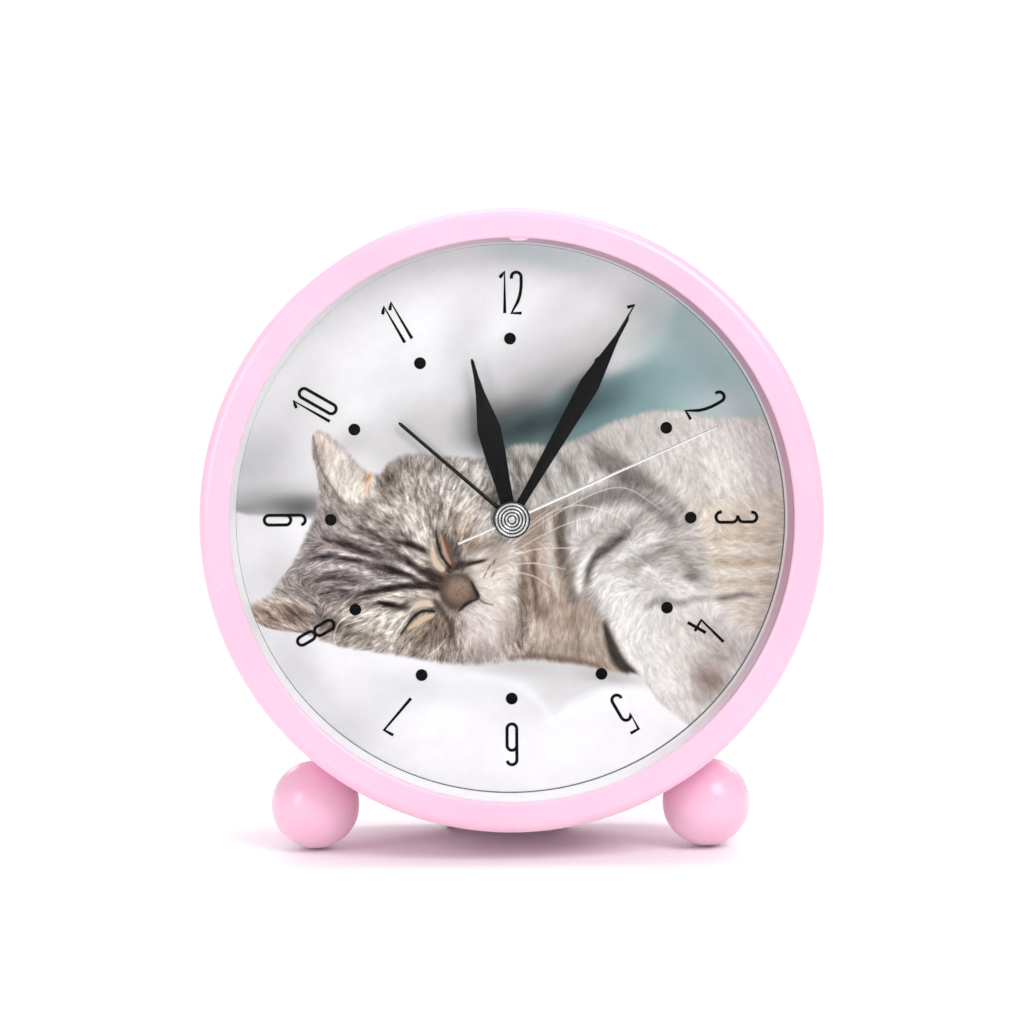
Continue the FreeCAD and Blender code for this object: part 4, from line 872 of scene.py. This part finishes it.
def paintEars(canvas):
    inner = [(-34.6, 14.9), (-32.9, 15), (-29.8, 12.4), (-26.6, 9.3), (-24.2, 7.8), (-24.4, 4.6),
             (-27.6, 2.6), (-30.6, 4.6), (-33, 9.4)]
    patch(canvas, "ddd0c7", 0.4, inner)
    layAll(canvas, spot, [
        ("e8ddd4", -30.2, 10, 1.6, 2.8, 30, 0.8), ("d9bfae", -33.2, 13, 1.2, 1.8, 15, 0.7),
        ("c4905f", -25, 7.9, 0.6, 0.8, 0, 0.95), ("cba78c", -25.6, 6, 0.8, 1.6, 0, 0.7),
        ("f0e6da", -27.6, 5.4, 1.6, 1.5, 0, 0.8),
    ])
    patch(canvas, "b09c8f", 0.5, [(-46, -14.8), (-42.7, -13.6), (-38.4, -14.4), (-35.4, -17.6),
          (-37.8, -19.6), (-41.8, -19.4), (-45.2, -17.9)])
    layAll(canvas, spot, [
        ("c2a496", -42.8, -16.8, 2.4, 1.6, -20, 0.8), ("6a5549", -37.9, -16.9, 2.2, 1.2, -30, 0.9),
        ("dfd2c4", -41.6, -14.2, 3, 0.6, -6, 0.85),
    ])
    band(canvas, "7a6a5f", [0.4, 0.7, 0.4], 0.3, [(-45.4, -18), (-41.6, -19.5), (-36.6, -19.9)], 0.8)


def paintFeatures(canvas):   # what lies over the hair: lids, nose, mouth, thin lines
    layAll(canvas, band, [
        ("6f655f", [0.25, 0.3, 0.3, 0.2], 0.16, [(-34.8, 14.8), (-33.9, 10.3), (-32.2, 6.7),
         (-29.4, 2.8)], 0.8),
        ("5b4d45", [0.15, 0.35, 0.5], 0.22, [(-14.7, 2.6), (-14.2, -0.6), (-13.4, -3)], 0.75),
    ])
    # upper eye
    layAll(canvas, band, [
        ("a3968b", [0.6, 1.6, 2, 1.4], 0.6, [(-14.6, -3.4), (-14.2, -6.2), (-13.2, -8.4),
         (-11.9, -9.3)], 0.6),
        ("e0c9b3", [0.3, 0.9, 1.2, 1.1], 0.22, [(-13.9, -4.4), (-13.75, -6.2), (-13.2, -7.8),
         (-12.2, -8.8)], 0.95),
        ("6b5245", [0.4, 1.1, 1.2, 0.8], 0.3, [(-12.1, -2.2), (-11.5, -4.4), (-10.9, -6.6),
         (-10.2, -8.2)], 0.8),
        ("c39b82", [0.2, 0.6, 0.7, 0.4], 0.2, [(-12.5, -2.6), (-12, -4.6), (-11.5, -6.4),
         (-10.8, -7.8)], 0.95),
        ("1d1512", [0.2, 0.45, 0.5, 0.5], 0.16, [(-13.2, -2), (-12.9, -4.4), (-12.2, -6.6), (-10.8, -8.5)]),
    ])
    # lower eye
    layAll(canvas, band, [
        ("9d9085", [0.6, 1.6, 2, 1.6], 0.6, [(-18.6, -16), (-16.8, -14.8), (-15.2, -14.2),
         (-13.6, -14.6)], 0.5),
        ("e2ccb4", [0.3, 1, 1.2, 1.1], 0.22, [(-18, -16.3), (-16.8, -15.3), (-15.4, -14.8),
         (-14.1, -15)], 0.95),
        ("d9bf9f", [0.4, 1.1, 1.2, 0.7], 0.24, [(-18.2, -19.4), (-16.7, -18.3), (-15.1, -17.4),
         (-13.9, -17)], 0.95),
        ("1d1512", [0.2, 0.45, 0.5, 0.4], 0.16, [(-19.5, -20.3), (-17.8, -17.9), (-15.9, -16.3),
         (-13.6, -16.3)]),
        ("3a2f2b", [1, 1, 0.6, 0.2], 0.5, [(-13.4, -14.6), (-12, -16.6), (-10.5, -19.4),
         (-9.8, -23.2)], 0.75),
    ])
    # nose
    nose = [(-12.5, -11.4), (-11, -9.9), (-8.2, -9.7), (-6.9, -11), (-6.2, -12.8), (-5.7, -13.9),
            (-6.6, -14.4), (-7.6, -15), (-9.4, -16), (-11.2, -15.6), (-12.6, -13.8)]
    patch(canvas, "51413a", 0.5, nose, 0.95)
    layAll(canvas, spot, [
        ("8f7767", -9.3, -12.6, 2.3, 2.2, -35, 0.95, 0.45), ("a38c7c", -8.9, -11.8, 1.4, 1, -30, 0.6, 0.9),
    ])
    for _ in range(70):
        turn, reach = chance.uniform(0, 2 * math.pi), 2.3 * math.sqrt(chance.uniform(0, 1))
        x, z = -9.3 + reach * math.cos(turn), -12.6 + reach * math.sin(turn)
        spot(canvas, "5f4c42", x, z, 0.12, 0.12, 0, 0.5, 0.8)
    layAll(canvas, band, [
        ("1f1614", [0.3, 0.6, 0.7, 0.3], 0.22, [(-7, -11.2), (-6.3, -12.6), (-5.9, -13.6),
         (-6.2, -14.3)], 0.95),
        ("1f1614", [0.3, 0.6, 0.4], 0.22, [(-6.4, -14.3), (-7.9, -15), (-9.2, -16.2)], 0.95),
        ("4a3a38", [0.3, 0.3, 0.15], 0.18, [(-5.9, -13.9), (-4.8, -14.8), (-3.2, -15.2)], 0.8),
    ])
    for x, z, turn in [(-3.9, -8.6, 62), (-3.2, -9.8, 58), (-4.6, -9.9, 60), (-3, -7.6, 60),
                       (-10.2, -18.2, 100), (-9.6, -19.6, 98), (-10.4, -20.4, 95), (-8.7, -18.4, 100),
                       (-9, -21.6, 96)]:
        dx, dz = 0.55 * math.cos(math.radians(turn)), 0.55 * math.sin(math.radians(turn))
        band(canvas, "5a463c", [0.15, 0.28, 0.12], 0.16, [(x - dx, z - dz), (x, z), (x + dx, z + dz)], 0.75)


def paintWhiskers(canvas):
    for points in ([(0.3, -5.2), (3.9, -0.9), (11.2, 2.3), (18.4, 0.5), (21.2, -1.8)],
                   [(1.1, -3.8), (7.5, 0.5), (15.1, 4.5), (20.6, 5.2), (26.6, 1.4)],
                   [(0.3, -5.9), (5.7, -2.9), (10.4, -0.8), (16, 0.6)],
                   [(0.2, -4.6), (4.6, -0.6), (9.4, 2.6)], [(0, -5), (2.6, -1.6), (6.6, 1.6)],
                   [(0.9, -8.1), (4.3, -7.9), (9.6, -9)], [(0.6, -6.6), (4.6, -5.4), (11.4, -5.2)],
                   [(0.8, -9.4), (4, -10.2), (7.2, -12.2)], [(-0.2, -4), (1.6, -1.6), (3.4, 0.4)],
                   [(-30.9, -22.6), (-31.3, -20.4), (-30.2, -18), (-27.4, -16.4)],
                   [(-27.8, -17.6), (-25.4, -16.6), (-22.8, -15.2)],
                   [(-11.6, -21.2), (-13.2, -23), (-15.6, -24.6)]):
        band(canvas, "f9f4ee", [0.12, 0.16, 0.08], 0.09, points, 0.9)


# how crisp the hair is: sharp on the face, soft on the far side, the muzzle and the ear
fur = {"fine": 0.125, "fineDrag": (0.42, 6), "clump": 0.085, "clumpDrag": (0.8, 7), "coatDrag": (0.7, 6),
       "wander": ((2.2, 0.30), (0.9, 0.22)), "mottle": 0.05, "grey": 0.10, "greyHead": 0.04, "dim": 0.975,
       "middle": 0.64, "contrastHead": 0.12, "sharp": 0.35, "sharpHead": 0.55, "sharpReach": 2.2,
       "lift": 0.25, "liftTint": (1.0, 0.98, 0.95), "crisp": 0.30, "areas": (
    (0.42, [(-3, 13), (12, 13), (32, 2), (34, -10), (22, -14), (19, -28), (0, -28)]),
    (1.0, [(-48, -14), (-36, 4), (-36, 16), (-24, 9), (-14, 13), (0, 12), (2, -6), (1, -27), (-30, -25),
           (-46, -20)]),
    (0.32, [(-8, -6), (0, -5), (0.6, -20), (-6, -26), (-9, -18)]),
    (0.4, [(-35, 16), (-32, 15), (-25, 8), (-26, 4), (-31, 4), (-34, 10)]),
), "head": [(-34, -17), (-38, -8), (-31, 2), (-26, 7), (-14, 12), (-3, 11), (-0.5, 2), (-4, -5), (-9, -9),
            (-9, -18), (-13, -25), (-30, -22)]}


def spreadMask(field, points, blur, amount=1.0):   # brings a field towards an amount inside an outline
    rows, columns, cover = patchMask(points, blur)
    field[rows, columns, 0] += (amount - field[rows, columns, 0]) * cover
    return field


def furCoat(coat, flow):   # turns the cat's flat colours into hair
    crisp = np.full(gridX.shape + (1,), fur["crisp"])
    for amount, points in fur["areas"]:
        spreadMask(crisp, points, 2.5, amount)
    headOnly = spreadMask(np.zeros(gridX.shape + (1,)), fur["head"], 2.0)
    fine = comb(chance.normal(0, 1, gridX.shape), flow, *fur["fineDrag"])
    clump = comb(cloud(0.5) + 0.9 * cloud(0.25), flow, *fur["clumpDrag"])
    mottle = cloud(0.8) + cloud(1.5)
    coat = coat + coat * (fur["mottle"] * mottle[..., None] * crisp)
    coat = comb(coat, flow, *fur["coatDrag"])
    # greyer, deeper and sharper over the head, softer elsewhere
    grey = coat.mean(2, keepdims=True)
    coat += (grey - coat) * (fur["grey"] + fur["greyHead"] * headOnly)
    coat = fur["dim"] * (fur["middle"] + (coat - fur["middle"]) * (1 + fur["contrastHead"] * headOnly))
    coat += (fur["sharp"] + fur["sharpHead"] * headOnly) * (coat - softened(coat, fur["sharpReach"]))
    hair = (fur["fine"] * fine / fine.std() + fur["clump"] * clump / clump.std())[..., None] * crisp
    return coat * (1 + hair) + fur["lift"] * hair * np.array(fur["liftTint"])


def paintPicture():
    blankets = np.empty(gridX.shape + (3,))
    paintBlankets(blankets)
    blankets *= 1 + clouds(picture["clouds"])[..., None]
    coat = np.empty_like(blankets)
    paintCoat(coat)
    paintHead(coat)
    paintEars(coat)
    flowX, flowZ = flowField(hairFlow)
    wander = clouds(fur["wander"])
    c, s = np.cos(wander), np.sin(wander)
    flow = flowX * c - flowZ * s, flowX * s + flowZ * c
    coat = furCoat(coat, flow)
    outline = spreadMask(np.zeros(gridX.shape + (1,)), catOutline, 0.35)[..., 0]
    # tufts stand out past the outline: it is roughened, dragged along the hair and sharpened again
    tufts = np.clip(outline * 1.25 - 0.12 + 0.35 * cloud(0.4) * (outline > 0.02), 0, 1.15)
    ragged = fade(comb(tufts, flow, 1.0, 8), 0.25, 0.85)[..., None]
    paper = blankets + (coat - blankets) * ragged
    paintFeatures(paper)
    paintWhiskers(paper)
    return np.clip(paper, 0, 1)


# more cells over the cat's face
dialSheet = {"radius": 50.8, "hole": 3.3, "thick": 0.5, "cells": 600, "busyX": (-46.0, 22.0),
             "busyZ": (-27.0, 16.0), "extra": 0.45, "easeOut": 8, "easeIn": 4, "snap": 0.12, "spare": 0.03}


def warpedLine(low, high):   # grid places from -1 to 1, closer together between low and high
    samples = 2001
    fine = np.linspace(-1, 1, samples)
    place = fine * dialSheet["radius"]
    easeOut, easeIn = dialSheet["easeOut"], dialSheet["easeIn"]
    busy = fade(place, low - easeOut, low + easeIn) - fade(place, high - easeIn, high + easeOut)
    density = 1 + dialSheet["extra"] * busy
    total = np.concatenate([[0], np.cumsum((density[1:] + density[:-1]) / 2)])
    middle = dialSheet["cells"] // 2
    halfWay = total[samples // 2]
    before = np.linspace(0, halfWay, middle + 1)
    after = np.linspace(halfWay, total[-1], middle + 1)[1:]
    return np.interp(np.concatenate([before, after]), total, fine)


def placesOf(mesh):
    places = np.empty(len(mesh.vertices) * 3)
    mesh.vertices.foreach_get("co", places)
    return places.reshape(-1, 3)


def printOn(mesh, paper):   # the picture's colour at each point of the mesh, as a colour attribute
    last = picture["cells"] - 1
    spread = (placesOf(mesh) / mm + picture["half"]) / (2 * picture["half"]) * last
    column, row = np.clip(spread[:, 0], 0, last - 0.001), np.clip(spread[:, 2], 0, last - 0.001)
    c, r = column.astype(int), row.astype(int)
    tc, tr = (column - c)[:, None], (row - r)[:, None]
    above = paper[r, c] * (1 - tc) + paper[r, c + 1] * tc
    below = paper[r + 1, c] * (1 - tc) + paper[r + 1, c + 1] * tc
    colour = above * (1 - tr) + below * tr
    colour = np.where(colour <= 0.04045, colour / 12.92, ((colour + 0.055) / 1.055) ** 2.4)
    paint = mesh.color_attributes.new("printColour", "FLOAT_COLOR", "POINT")
    paint.data.foreach_set("color", np.concatenate([colour, np.ones((len(colour), 1))], 1).ravel())


def makeSheetQuarter(paper, sideX, sideZ):
    cells = dialSheet["cells"]
    bpy.ops.mesh.primitive_grid_add(x_subdivisions=cells // 2, y_subdivisions=cells // 2, size=2)
    sheet = bpy.context.object
    places = placesOf(sheet.data)
    even = np.linspace(-1, 1, cells + 1)
    across = np.interp((places[:, 0] + sideX) / 2, even, warpedLine(*dialSheet["busyX"]))
    up = np.interp((places[:, 1] + sideZ) / 2, even, warpedLine(*dialSheet["busyZ"]))
    # the square grid is eased into a disc, so that its rim is round with no cut cells
    x = across * np.sqrt(1 - up ** 2 / 2) * dialSheet["radius"]
    z = up * np.sqrt(1 - across ** 2 / 2) * dialSheet["radius"]
    away = np.hypot(x, z)
    nearHole = (np.abs(away - dialSheet["hole"]) < dialSheet["snap"]) & (away > 0)
    pull = np.where(nearHole, dialSheet["hole"] / np.maximum(away, 1e-9), 1.0)
    x, z = x * pull, z * pull
    sheet.data.vertices.foreach_set("co", (np.stack([x, np.zeros_like(x), z], 1) * mm).ravel())
    bpy.ops.object.mode_set(mode="EDIT")
    bpy.ops.mesh.select_mode(type="VERT")
    bpy.ops.mesh.select_all(action="DESELECT")
    bpy.ops.object.mode_set(mode="OBJECT")
    sheet.data.vertices.foreach_set("select", np.hypot(x, z) < dialSheet["hole"] - dialSheet["spare"])
    bpy.ops.object.mode_set(mode="EDIT")
    bpy.ops.mesh.delete(type="VERT")
    bpy.ops.mesh.select_all(action="SELECT")
    bpy.ops.mesh.region_to_loop()
    bpy.ops.mesh.extrude_edges_move(TRANSFORM_OT_translate={"value": (0, dialSheet["thick"] * mm, 0)})
    bpy.ops.mesh.edge_face_add()
    turnedOutwards()
    printOn(sheet.data, paper)
    return sheet


paintedPaper = paintPicture()
for quarter, (sideX, sideZ) in enumerate([(-1, -1), (1, -1), (-1, 1), (1, 1)], 1):
    sheet = makeSheetQuarter(paintedPaper, sideX, sideZ)
    settle(sheet, "dialPictureSheet_%d" % quarter, "case", "printed_dial", "dial")
print("dial picture painted")

numerals = {"ring": 39.9, "height": 7.8, "width": 2.3, "stroke": 0.58, "gap": 1.75, "gapEleven": 1.45,
            "oneAside": 0.28, "thick": 0.05, "level": -0.035}
dots = {"ring": 31.8, "size": 2.1, "thick": 0.025, "level": -0.045}


def glyph(digit):   # strokes of one thin digit: (x, z) points about its middle, and whether each closes
    w = (numerals["width"] - numerals["stroke"]) / 2
    h = (numerals["height"] - numerals["stroke"]) / 2
    top, low = h - w, w - h
    loop = arc(0, top, w, w, 10, 180) + arc(0, low, w, w, 180, 360) + arc(0, 0.2, w, w, 0, 165)
    hook = arc(0, low, w, w, 0, -190)
    strokes = {
        "0": [(arc(0, top, w, w, 0, 180) + arc(0, low, w, w, 180, 360), True)],
        "1": [([(-0.62, h - 0.95), (-0.2, h - 0.45), (0.25, h + 0.06), (0.25, -h)], False)],
        "2": [(arc(0, top, w, w, 200, 0) + [(w, top - 1)] + arc(-1.8, top - 1, w + 1.8, 5.2, -8, -42, 6)
               + [(-w, -h), (w + 0.05, -h)], False)],
        "3": [(arc(-0.05, top, w, w, 190, 0) + [(w - 0.05, 1.25)]
               + arc(-0.35, 1.25, w + 0.3, 1, 0, -90, 8), False),
              ([(-0.35, 0.25)] + arc(-0.3, -0.75, w + 0.3, 1, 90, 0, 8)
               + arc(-0.05, low, w + 0.05, w, 0, -190), False)],
        "4": [([(0.3, h), (-w - 0.25, -1.75), (w + 0.3, -1.75)], False), ([(0.45, 0.1), (0.45, -h)], False)],
        "5": [([(w, h), (-w + 0.1, h), (-w, 0.55)] + arc(0, 0.35, w, 0.95, 140, 0) + hook, False)],
        "6": [(loop, False)],
        "7": [([(-w - 0.05, h), (w + 0.1, h), (-0.4, -h)], False)],
        "8": [(arc(0, top, w * 0.9, w, 0, 180) + arc(0, 1.1, w * 0.9, w, 180, 360), True),
              (arc(0, -0.75, w, w, 0, 180) + arc(0, low, w, w, 180, 360), True)],
        "9": [([(-x, -z) for x, z in loop], False)],
    }
    return strokes[digit]


for hour in range(1, 13):
    digits = str(hour)
    gap = numerals["gapEleven"] if digits == "11" else numerals["gap"]
    aside = numerals["oneAside"] if digits in ("10", "12") else 0
    strokes = []
    for place, digit in enumerate(digits):
        shift = (place - (len(digits) - 1) / 2) * gap + (aside if place else -aside)
        for points, closed in glyph(digit):
            line = [(x + shift, z) for x, z in points]
            strokes.append(pressedStroke(line, numerals["stroke"], numerals["thick"], closed))
    figure = joined(strokes)
    turn = math.radians(30 * hour)
    figure.data.transform(Matrix.Translation((0, numerals["level"] * mm, numerals["ring"] * mm)))
    figure.data.transform(Matrix.Rotation(turn, 4, "Y"))
    settle(figure, "numeral_%02d" % hour, "case", "printed_dial", None, inkFinish)
    place = Vector((dots["ring"] * math.sin(turn), dots["level"], dots["ring"] * math.cos(turn))) * mm
    bpy.ops.mesh.primitive_circle_add(vertices=40, radius=dots["size"] / 2 * mm, fill_type="NGON",
                                      rotation=upright, location=place)
    dot = bpy.context.object
    editAll()
    bpy.ops.mesh.extrude_region_move(TRANSFORM_OT_translate={"value": (0, dots["thick"] * mm, 0)})
    turnedOutwards()
    settle(dot, "dot_%02d" % hour, "case", "printed_dial", None, inkFinish)
print("numerals and dots made")

# each outline is (distance from the hub, half width)
hands = {
    "hour_hand": {"angle": -13.6, "hub": 2.9, "front": -2.45, "back": -2.1, "ridge": 0.2,
                  "slot": "black_hand",
                  "outline": [(0.5, 1.15), (6, 1.35), (12, 1.9), (16.4, 2.08), (19.4, 1.5), (22.6, 0.86),
                              (25.8, 0.44), (28.6, 0.3), (29.1, 0.12)]},
    "minute_hand": {"angle": 30.35, "hub": 2.5, "front": -3.65, "back": -3.3, "ridge": 0.2,
                    "slot": "black_hand",
                    "outline": [(0.5, 0.72), (6, 0.8), (18, 1.36), (27.4, 1.78), (31.4, 1.24), (35, 0.72),
                                (37.2, 0.44), (40.6, 0.32), (41.2, 0.12)]},
    "alarm_hand": {"angle": -49.1, "hub": 3.0, "front": -1.4, "back": -1.05, "ridge": 0.12,
                   "slot": "black_hand", "outline": [(0.5, 0.5), (4, 0.36), (25.6, 0.32), (26.1, 0.15)]},
    "second_hand": {"angle": 66.1, "hub": 1.6, "front": -4.9, "back": -4.62, "ridge": 0.1,
                    "slot": "silver_hand",
                    "outline": [(-10.4, 0.24), (2, 0.34), (39.6, 0.18), (40.1, 0.08)]},
}


handMaking = {"edge": 0.04, "bossSunk": 0.03, "bossRound": 0.06}


def pressedHand(hand):   # a thin blade folded along its middle, on a flat boss
    bpy.ops.mesh.primitive_grid_add(x_subdivisions=2, y_subdivisions=len(hand["outline"]) - 1, size=2,
                                    rotation=upright)
    blade = bpy.context.object
    ordered = sorted(blade.data.vertices, key=lambda vertex: (round(vertex.co.y, 4), vertex.co.x))
    for place, vertex in enumerate(ordered):
        reach, half = hand["outline"][place // 3]
        across = place % 3 - 1
        depth = hand["front"] + (hand["ridge"] if across else 0)
        # the grid lies in its own x-y plane, so its y is the hand's length and its z is towards the reader
        vertex.co = (across * half * mm, reach * mm, -depth * mm)
    editAll()
    bpy.ops.mesh.extrude_region_move(TRANSFORM_OT_translate={"value": (0, 0, 0)})
    bpy.ops.object.mode_set(mode="OBJECT")
    for vertex in blade.data.vertices:
        if vertex.select:
            vertex.co.z = -hand["back"] * mm
    editAll()
    turnedOutwards()
    finishModifier(blade, "BEVEL", width=handMaking["edge"] * mm, segments=2, limit_method="ANGLE")
    bossFront = hand["front"] + handMaking["bossSunk"]
    boss = turnedPiece([(0, bossFront, 0), (hand["hub"], bossFront, handMaking["bossRound"]),
                        (hand["hub"], hand["back"], 0), (0, hand["back"], 0)], steps=64)
    piece = joined([blade, boss])
    bpy.ops.object.transform_apply(location=True, rotation=True, scale=True)
    piece.data.transform(Matrix.Rotation(math.radians(hand["angle"]), 4, "Y"))
    return piece


for name, hand in hands.items():
    settle(pressedHand(hand), name.replace("_hand", "Hand") + "Blade", name, hand["slot"], name)

handCap = {"radius": 3.25, "front": -6.0, "back": -4.9, "rings": 5, "middle": 0.3, "rim": 0.35, "sunk": 0.05,
           "crestEnd": 0.36, "groove": -5.8, "grooveStart": 0.62, "grooveEnd": 0.78}
ringStep = (handCap["radius"] - handCap["rim"]) / handCap["rings"]
capOutline = [(0, handCap["front"] + handCap["sunk"], 0)]
for k in range(handCap["rings"]):   # a flat crest and the groove outside it
    crest = handCap["middle"] + k * ringStep
    capOutline += [(crest, handCap["front"], 0.1),
                   (crest + handCap["crestEnd"] * ringStep, handCap["front"], 0.1),
                   (crest + handCap["grooveStart"] * ringStep, handCap["groove"], 0.08),
                   (crest + handCap["grooveEnd"] * ringStep, handCap["groove"], 0.04)]
capOutline += [(handCap["radius"], handCap["front"] + 0.04, 0.18),
               (handCap["radius"], handCap["back"], 0.05), (0, handCap["back"], 0)]
# silver with painted shade in the bottom of the cap's grooves
capMetalGrooveShade = capFinish(handCap["front"] + 0.06, handCap["groove"])
cap = turnedPiece(capOutline, steps=128, corner=50)
settle(cap, "handCap", "second_hand", "silver_hand", "second_hand_cap", capMetalGrooveShade)
print("hands made")

studio = {"floor": 6.0, "floorLevel": -0.0002, "floorTint": (0.95, 0.95, 0.955), "world": 0.60}
bpy.ops.mesh.primitive_plane_add(size=studio["floor"], location=(0, 0, studio["floorLevel"]))
floor = bpy.context.object
floor.name = "studioFloor"
floorPaper, tree, surface = finishTree("studioPaper")
deeper = tuple(value - 0.01 for value in studio["floorTint"])
floorColour = rampOn(tree, noiseOn(tree, 6.0, 2.0), deeper, studio["floorTint"])
setInputs(tree, surface, {"Roughness": 0.7}, {"Base Color": floorColour})
floor.data.materials.append(floorPaper)

world = bpy.data.worlds.new("softRoom")
world.use_nodes = True
backdrop = world.node_tree.nodes["Background"]
backdrop.inputs["Color"].default_value = (1, 1, 1, 1)
backdrop.inputs["Strength"].default_value = studio["world"]
bpy.context.scene.world = world

lamps = {
    "keyRight": {"at": (0.75, -1.0, 1.15), "size": (0.75, 0.75), "power": 13.0},
    "fillLeft": {"at": (-1.15, -0.9, 0.55), "size": (0.5, 0.8), "power": 6.0},
    "topSoft": {"at": (0.0, 0.35, 1.5), "size": (1.2, 0.9), "power": 10.0},
    "backGlow": {"at": (0.2, 1.9, 0.9), "size": (2.4, 0.9), "power": 16.0},
}
clockMiddle = Vector((0, 0, 0.055))
for name, lamp in lamps.items():
    bpy.ops.object.light_add(type="AREA", location=lamp["at"])
    light = bpy.context.object
    light.name = name
    light.data.shape = "RECTANGLE"
    light.data.size, light.data.size_y = lamp["size"]
    light.data.energy = lamp["power"]
    light.rotation_mode = "QUATERNION"
    light.rotation_quaternion = (clockMiddle - Vector(lamp["at"])).to_track_quat("-Z", "Y")

# the aim is in millimetres on the dial; the width is what the frame shows there
camera = {"azimuth": -2.0, "tilt": 2.0, "distance": 1.35, "width": 0.1796, "aim": (-0.1, -9.0, 1.5),
          "sensor": 36.0}
aim = dialPlace @ (Vector(camera["aim"]) * mm)
aside = math.radians(camera["azimuth"])
raised = leanAngle + math.radians(camera["tilt"])
back = Vector((math.sin(aside) * math.cos(raised), -math.cos(aside) * math.cos(raised), math.sin(raised)))
bpy.ops.object.camera_add(location=aim + back * camera["distance"])
eye = bpy.context.object
eye.name = "frontCamera"
eye.rotation_mode = "QUATERNION"
eye.rotation_quaternion = (-back).to_track_quat("-Z", "Y")
eye.data.sensor_width = camera["sensor"]
eye.data.lens = camera["sensor"] * camera["distance"] / camera["width"]
eye.data.clip_start, eye.data.clip_end = 0.05, 20.0
bpy.context.scene.camera = eye
bpy.context.scene.view_settings.view_transform = "Standard"
print("studio set")
